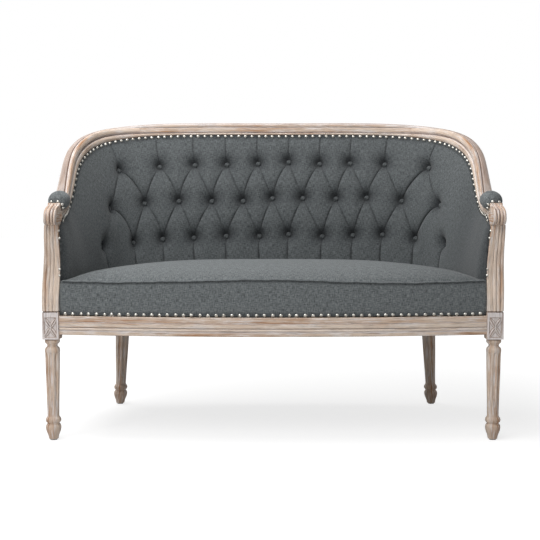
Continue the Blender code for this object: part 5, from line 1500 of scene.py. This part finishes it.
# %% [markdown]
# ## Dust cover
#
# A black cloth is tacked under the seat rails. It hangs a few millimetres low in the middle, so the CAD
# outline is kept and shrinks ring by ring towards the middle while it sags.

# %% Dust cover
DUST_TOP, DUST_THICK, DUST_SAG = RAIL_TOP - RAIL_HEIGHT - 0.0004, 0.0013, 0.005


def dust_outline():
    """Outline under the four seat rails, drawn in round the rear legs."""
    reach = steps_between(-POST_REACH, POST_REACH, 0.012)
    beside = share_of(-np.abs(np.abs(reach) - REAR_REACH), -0.075, -0.045)
    sides = base_point(reach, 0.008 + 0.0215 * beside)[:, :2]
    corner, flank = BLOCK_INNER - 0.001, BLOCK_BACK + 0.001
    front = np.linspace(corner, -corner, 100)
    nooks = np.array(((sides[-1, 0], flank), (corner, flank)))
    return np.concatenate((sides, nooks, block_of(front, front_face_y(front) + 0.015), nooks[::-1] * (-1.0, 1.0)))


outline = dust_outline()
middle = np.array((0.0, -0.04))
level = []
for scale in np.linspace(1.0, 0.01, 16):
    plan = middle + (outline - middle) * scale
    level.append(block_of(*plan.T, DUST_TOP - DUST_SAG * (1.0 - scale ** 2)))
rings = np.array(level[::-1] + [ring - UP * DUST_THICK for ring in level])
flat = np.concatenate((rings[..., :2], rings[:, :1, :2]), axis=1)
dust = show("dust_cloth", skin(rings, flat=flat), LINING, "lining", "dust_cover")
x, y = outline.T

# %% [markdown]
# ## Pieces kept from the CAD model
#
# The inner frame and the glides are plain work, and their CAD shapes are right as they are. They only need
# their finishes.

# %% Finishes on the kept pieces
for name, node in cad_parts.items():
    if node.hide_render:
        continue
    finish = STEEL if "glide" in name else FRAME_WOOD
    if not node.material_slots:
        node.data.materials.append(finish)
    for socket in node.material_slots:
        socket.material = finish
    print("kept", name)

# %% [markdown]
# ## Floor, light and camera
#
# The photograph is a plain studio shot: white all round, soft light from above and in front, and a faint
# shadow on the floor. The floor and the surroundings are white to the camera, but give the seat only a
# faint light. Three large soft lamps stand above and in front, a little to the left. The camera stands at
# sitting height with a long lens, a little to the right of the middle.

# %% Floor and surroundings
def studio_floor():
    """A wide floor that glows white to the camera, less under the seat, so a faint shadow stays."""
    work = bmesh.new()
    bmesh.ops.create_grid(work, x_segments=2, y_segments=2, size=14.0)
    mesh = bpy.data.meshes.new("studio_floor")
    work.to_mesh(mesh)
    work.free()
    floor = bpy.data.objects.new("studio_floor", mesh)
    bpy.context.scene.collection.objects.link(floor)
    finish, tree, shader = new_finish("studio_white", 0.85, Specular_IOR_Level=0.0)
    seen = add(tree, "LightPath").outputs["Is Camera Ray"]
    tree.links.new(mixed(tree, seen, grey(0.80), grey(0.42)), shader.inputs["Base Color"])
    place = add(tree, "TexCoord").outputs["Object"]
    away = add(tree, "VectorMath", {0: place}, operation="LENGTH").outputs["Value"]
    level = add(tree, "MapRange", {"Value": away, "From Min": 0.8, "From Max": 2.6, "To Min": 0.76, "To Max": 1.0},
                interpolation_type="SMOOTHSTEP").outputs["Result"]
    glow = add(tree, "Emission", {"Color": grey(1.0), "Strength": level}).outputs["Emission"]
    none = add(tree, "Emission", {"Strength": 0.0}).outputs["Emission"]
    extra = add(tree, "MixShader", {0: seen, 1: none, 2: glow}).outputs["Shader"]
    both = add(tree, "AddShader", {0: shader.outputs["BSDF"], 1: extra}).outputs["Shader"]
    tree.links.new(both, tree.nodes["Material Output"].inputs["Surface"])
    mesh.materials.append(finish)
    floor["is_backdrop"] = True


def surroundings():
    """White to the camera and in reflections, and faint as a light."""
    world = bpy.data.worlds.new("studio")
    bpy.context.scene.world = world
    world.use_nodes = True
    tree = world.node_tree
    back = tree.nodes["Background"]
    path = add(tree, "LightPath")
    seen = sums(tree, "MAXIMUM", path.outputs["Is Camera Ray"], path.outputs["Is Glossy Ray"])
    level = sums(tree, "ADD", sums(tree, "MULTIPLY", seen, 0.84), 0.16)
    back.inputs["Color"].default_value = grey(1.0)
    tree.links.new(level, back.inputs["Strength"])


def lamp(name, place, aim, size, power):
    data = bpy.data.lights.new(name, "AREA")
    data.shape = "RECTANGLE"
    data.size, data.size_y = size
    data.energy = power
    made = bpy.data.objects.new(name, data)
    made.location = place
    made.rotation_euler = (Vector(aim) - Vector(place)).to_track_quat("-Z", "Y").to_euler()
    bpy.context.scene.collection.objects.link(made)


studio_floor()
surroundings()
lamp("key_lamp", (-1.1, -2.3, 2.8), (0.0, 0.0, 0.4), (2.2, 1.8), 50.0)
lamp("fill_lamp", (-0.4, -3.4, 1.2), (0.0, 0.0, 0.3), (2.4, 1.6), 10.0)
lamp("top_lamp", (-0.8, 0.0, 2.6), (-0.1, 0.0, 0.4), (2.2, 2.0), 54.0)

# %% Camera
camera = bpy.data.objects.new("camera", bpy.data.cameras.new("camera"))
bpy.context.scene.collection.objects.link(camera)
bpy.context.scene.camera = camera
camera.location = (0.046, -3.108, 0.657)
camera.rotation_euler = (math.radians(86.1), 0.0, 0.0)
camera.data.lens = 69.93
camera.data.sensor_width = 36.0
camera.data.shift_x = -0.037
bpy.context.scene.view_settings.view_transform = "Standard"

# %% Sizes and the end of the script
low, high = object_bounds()
print("visual box in mm:", [round(1000 * side) for side in high - low])
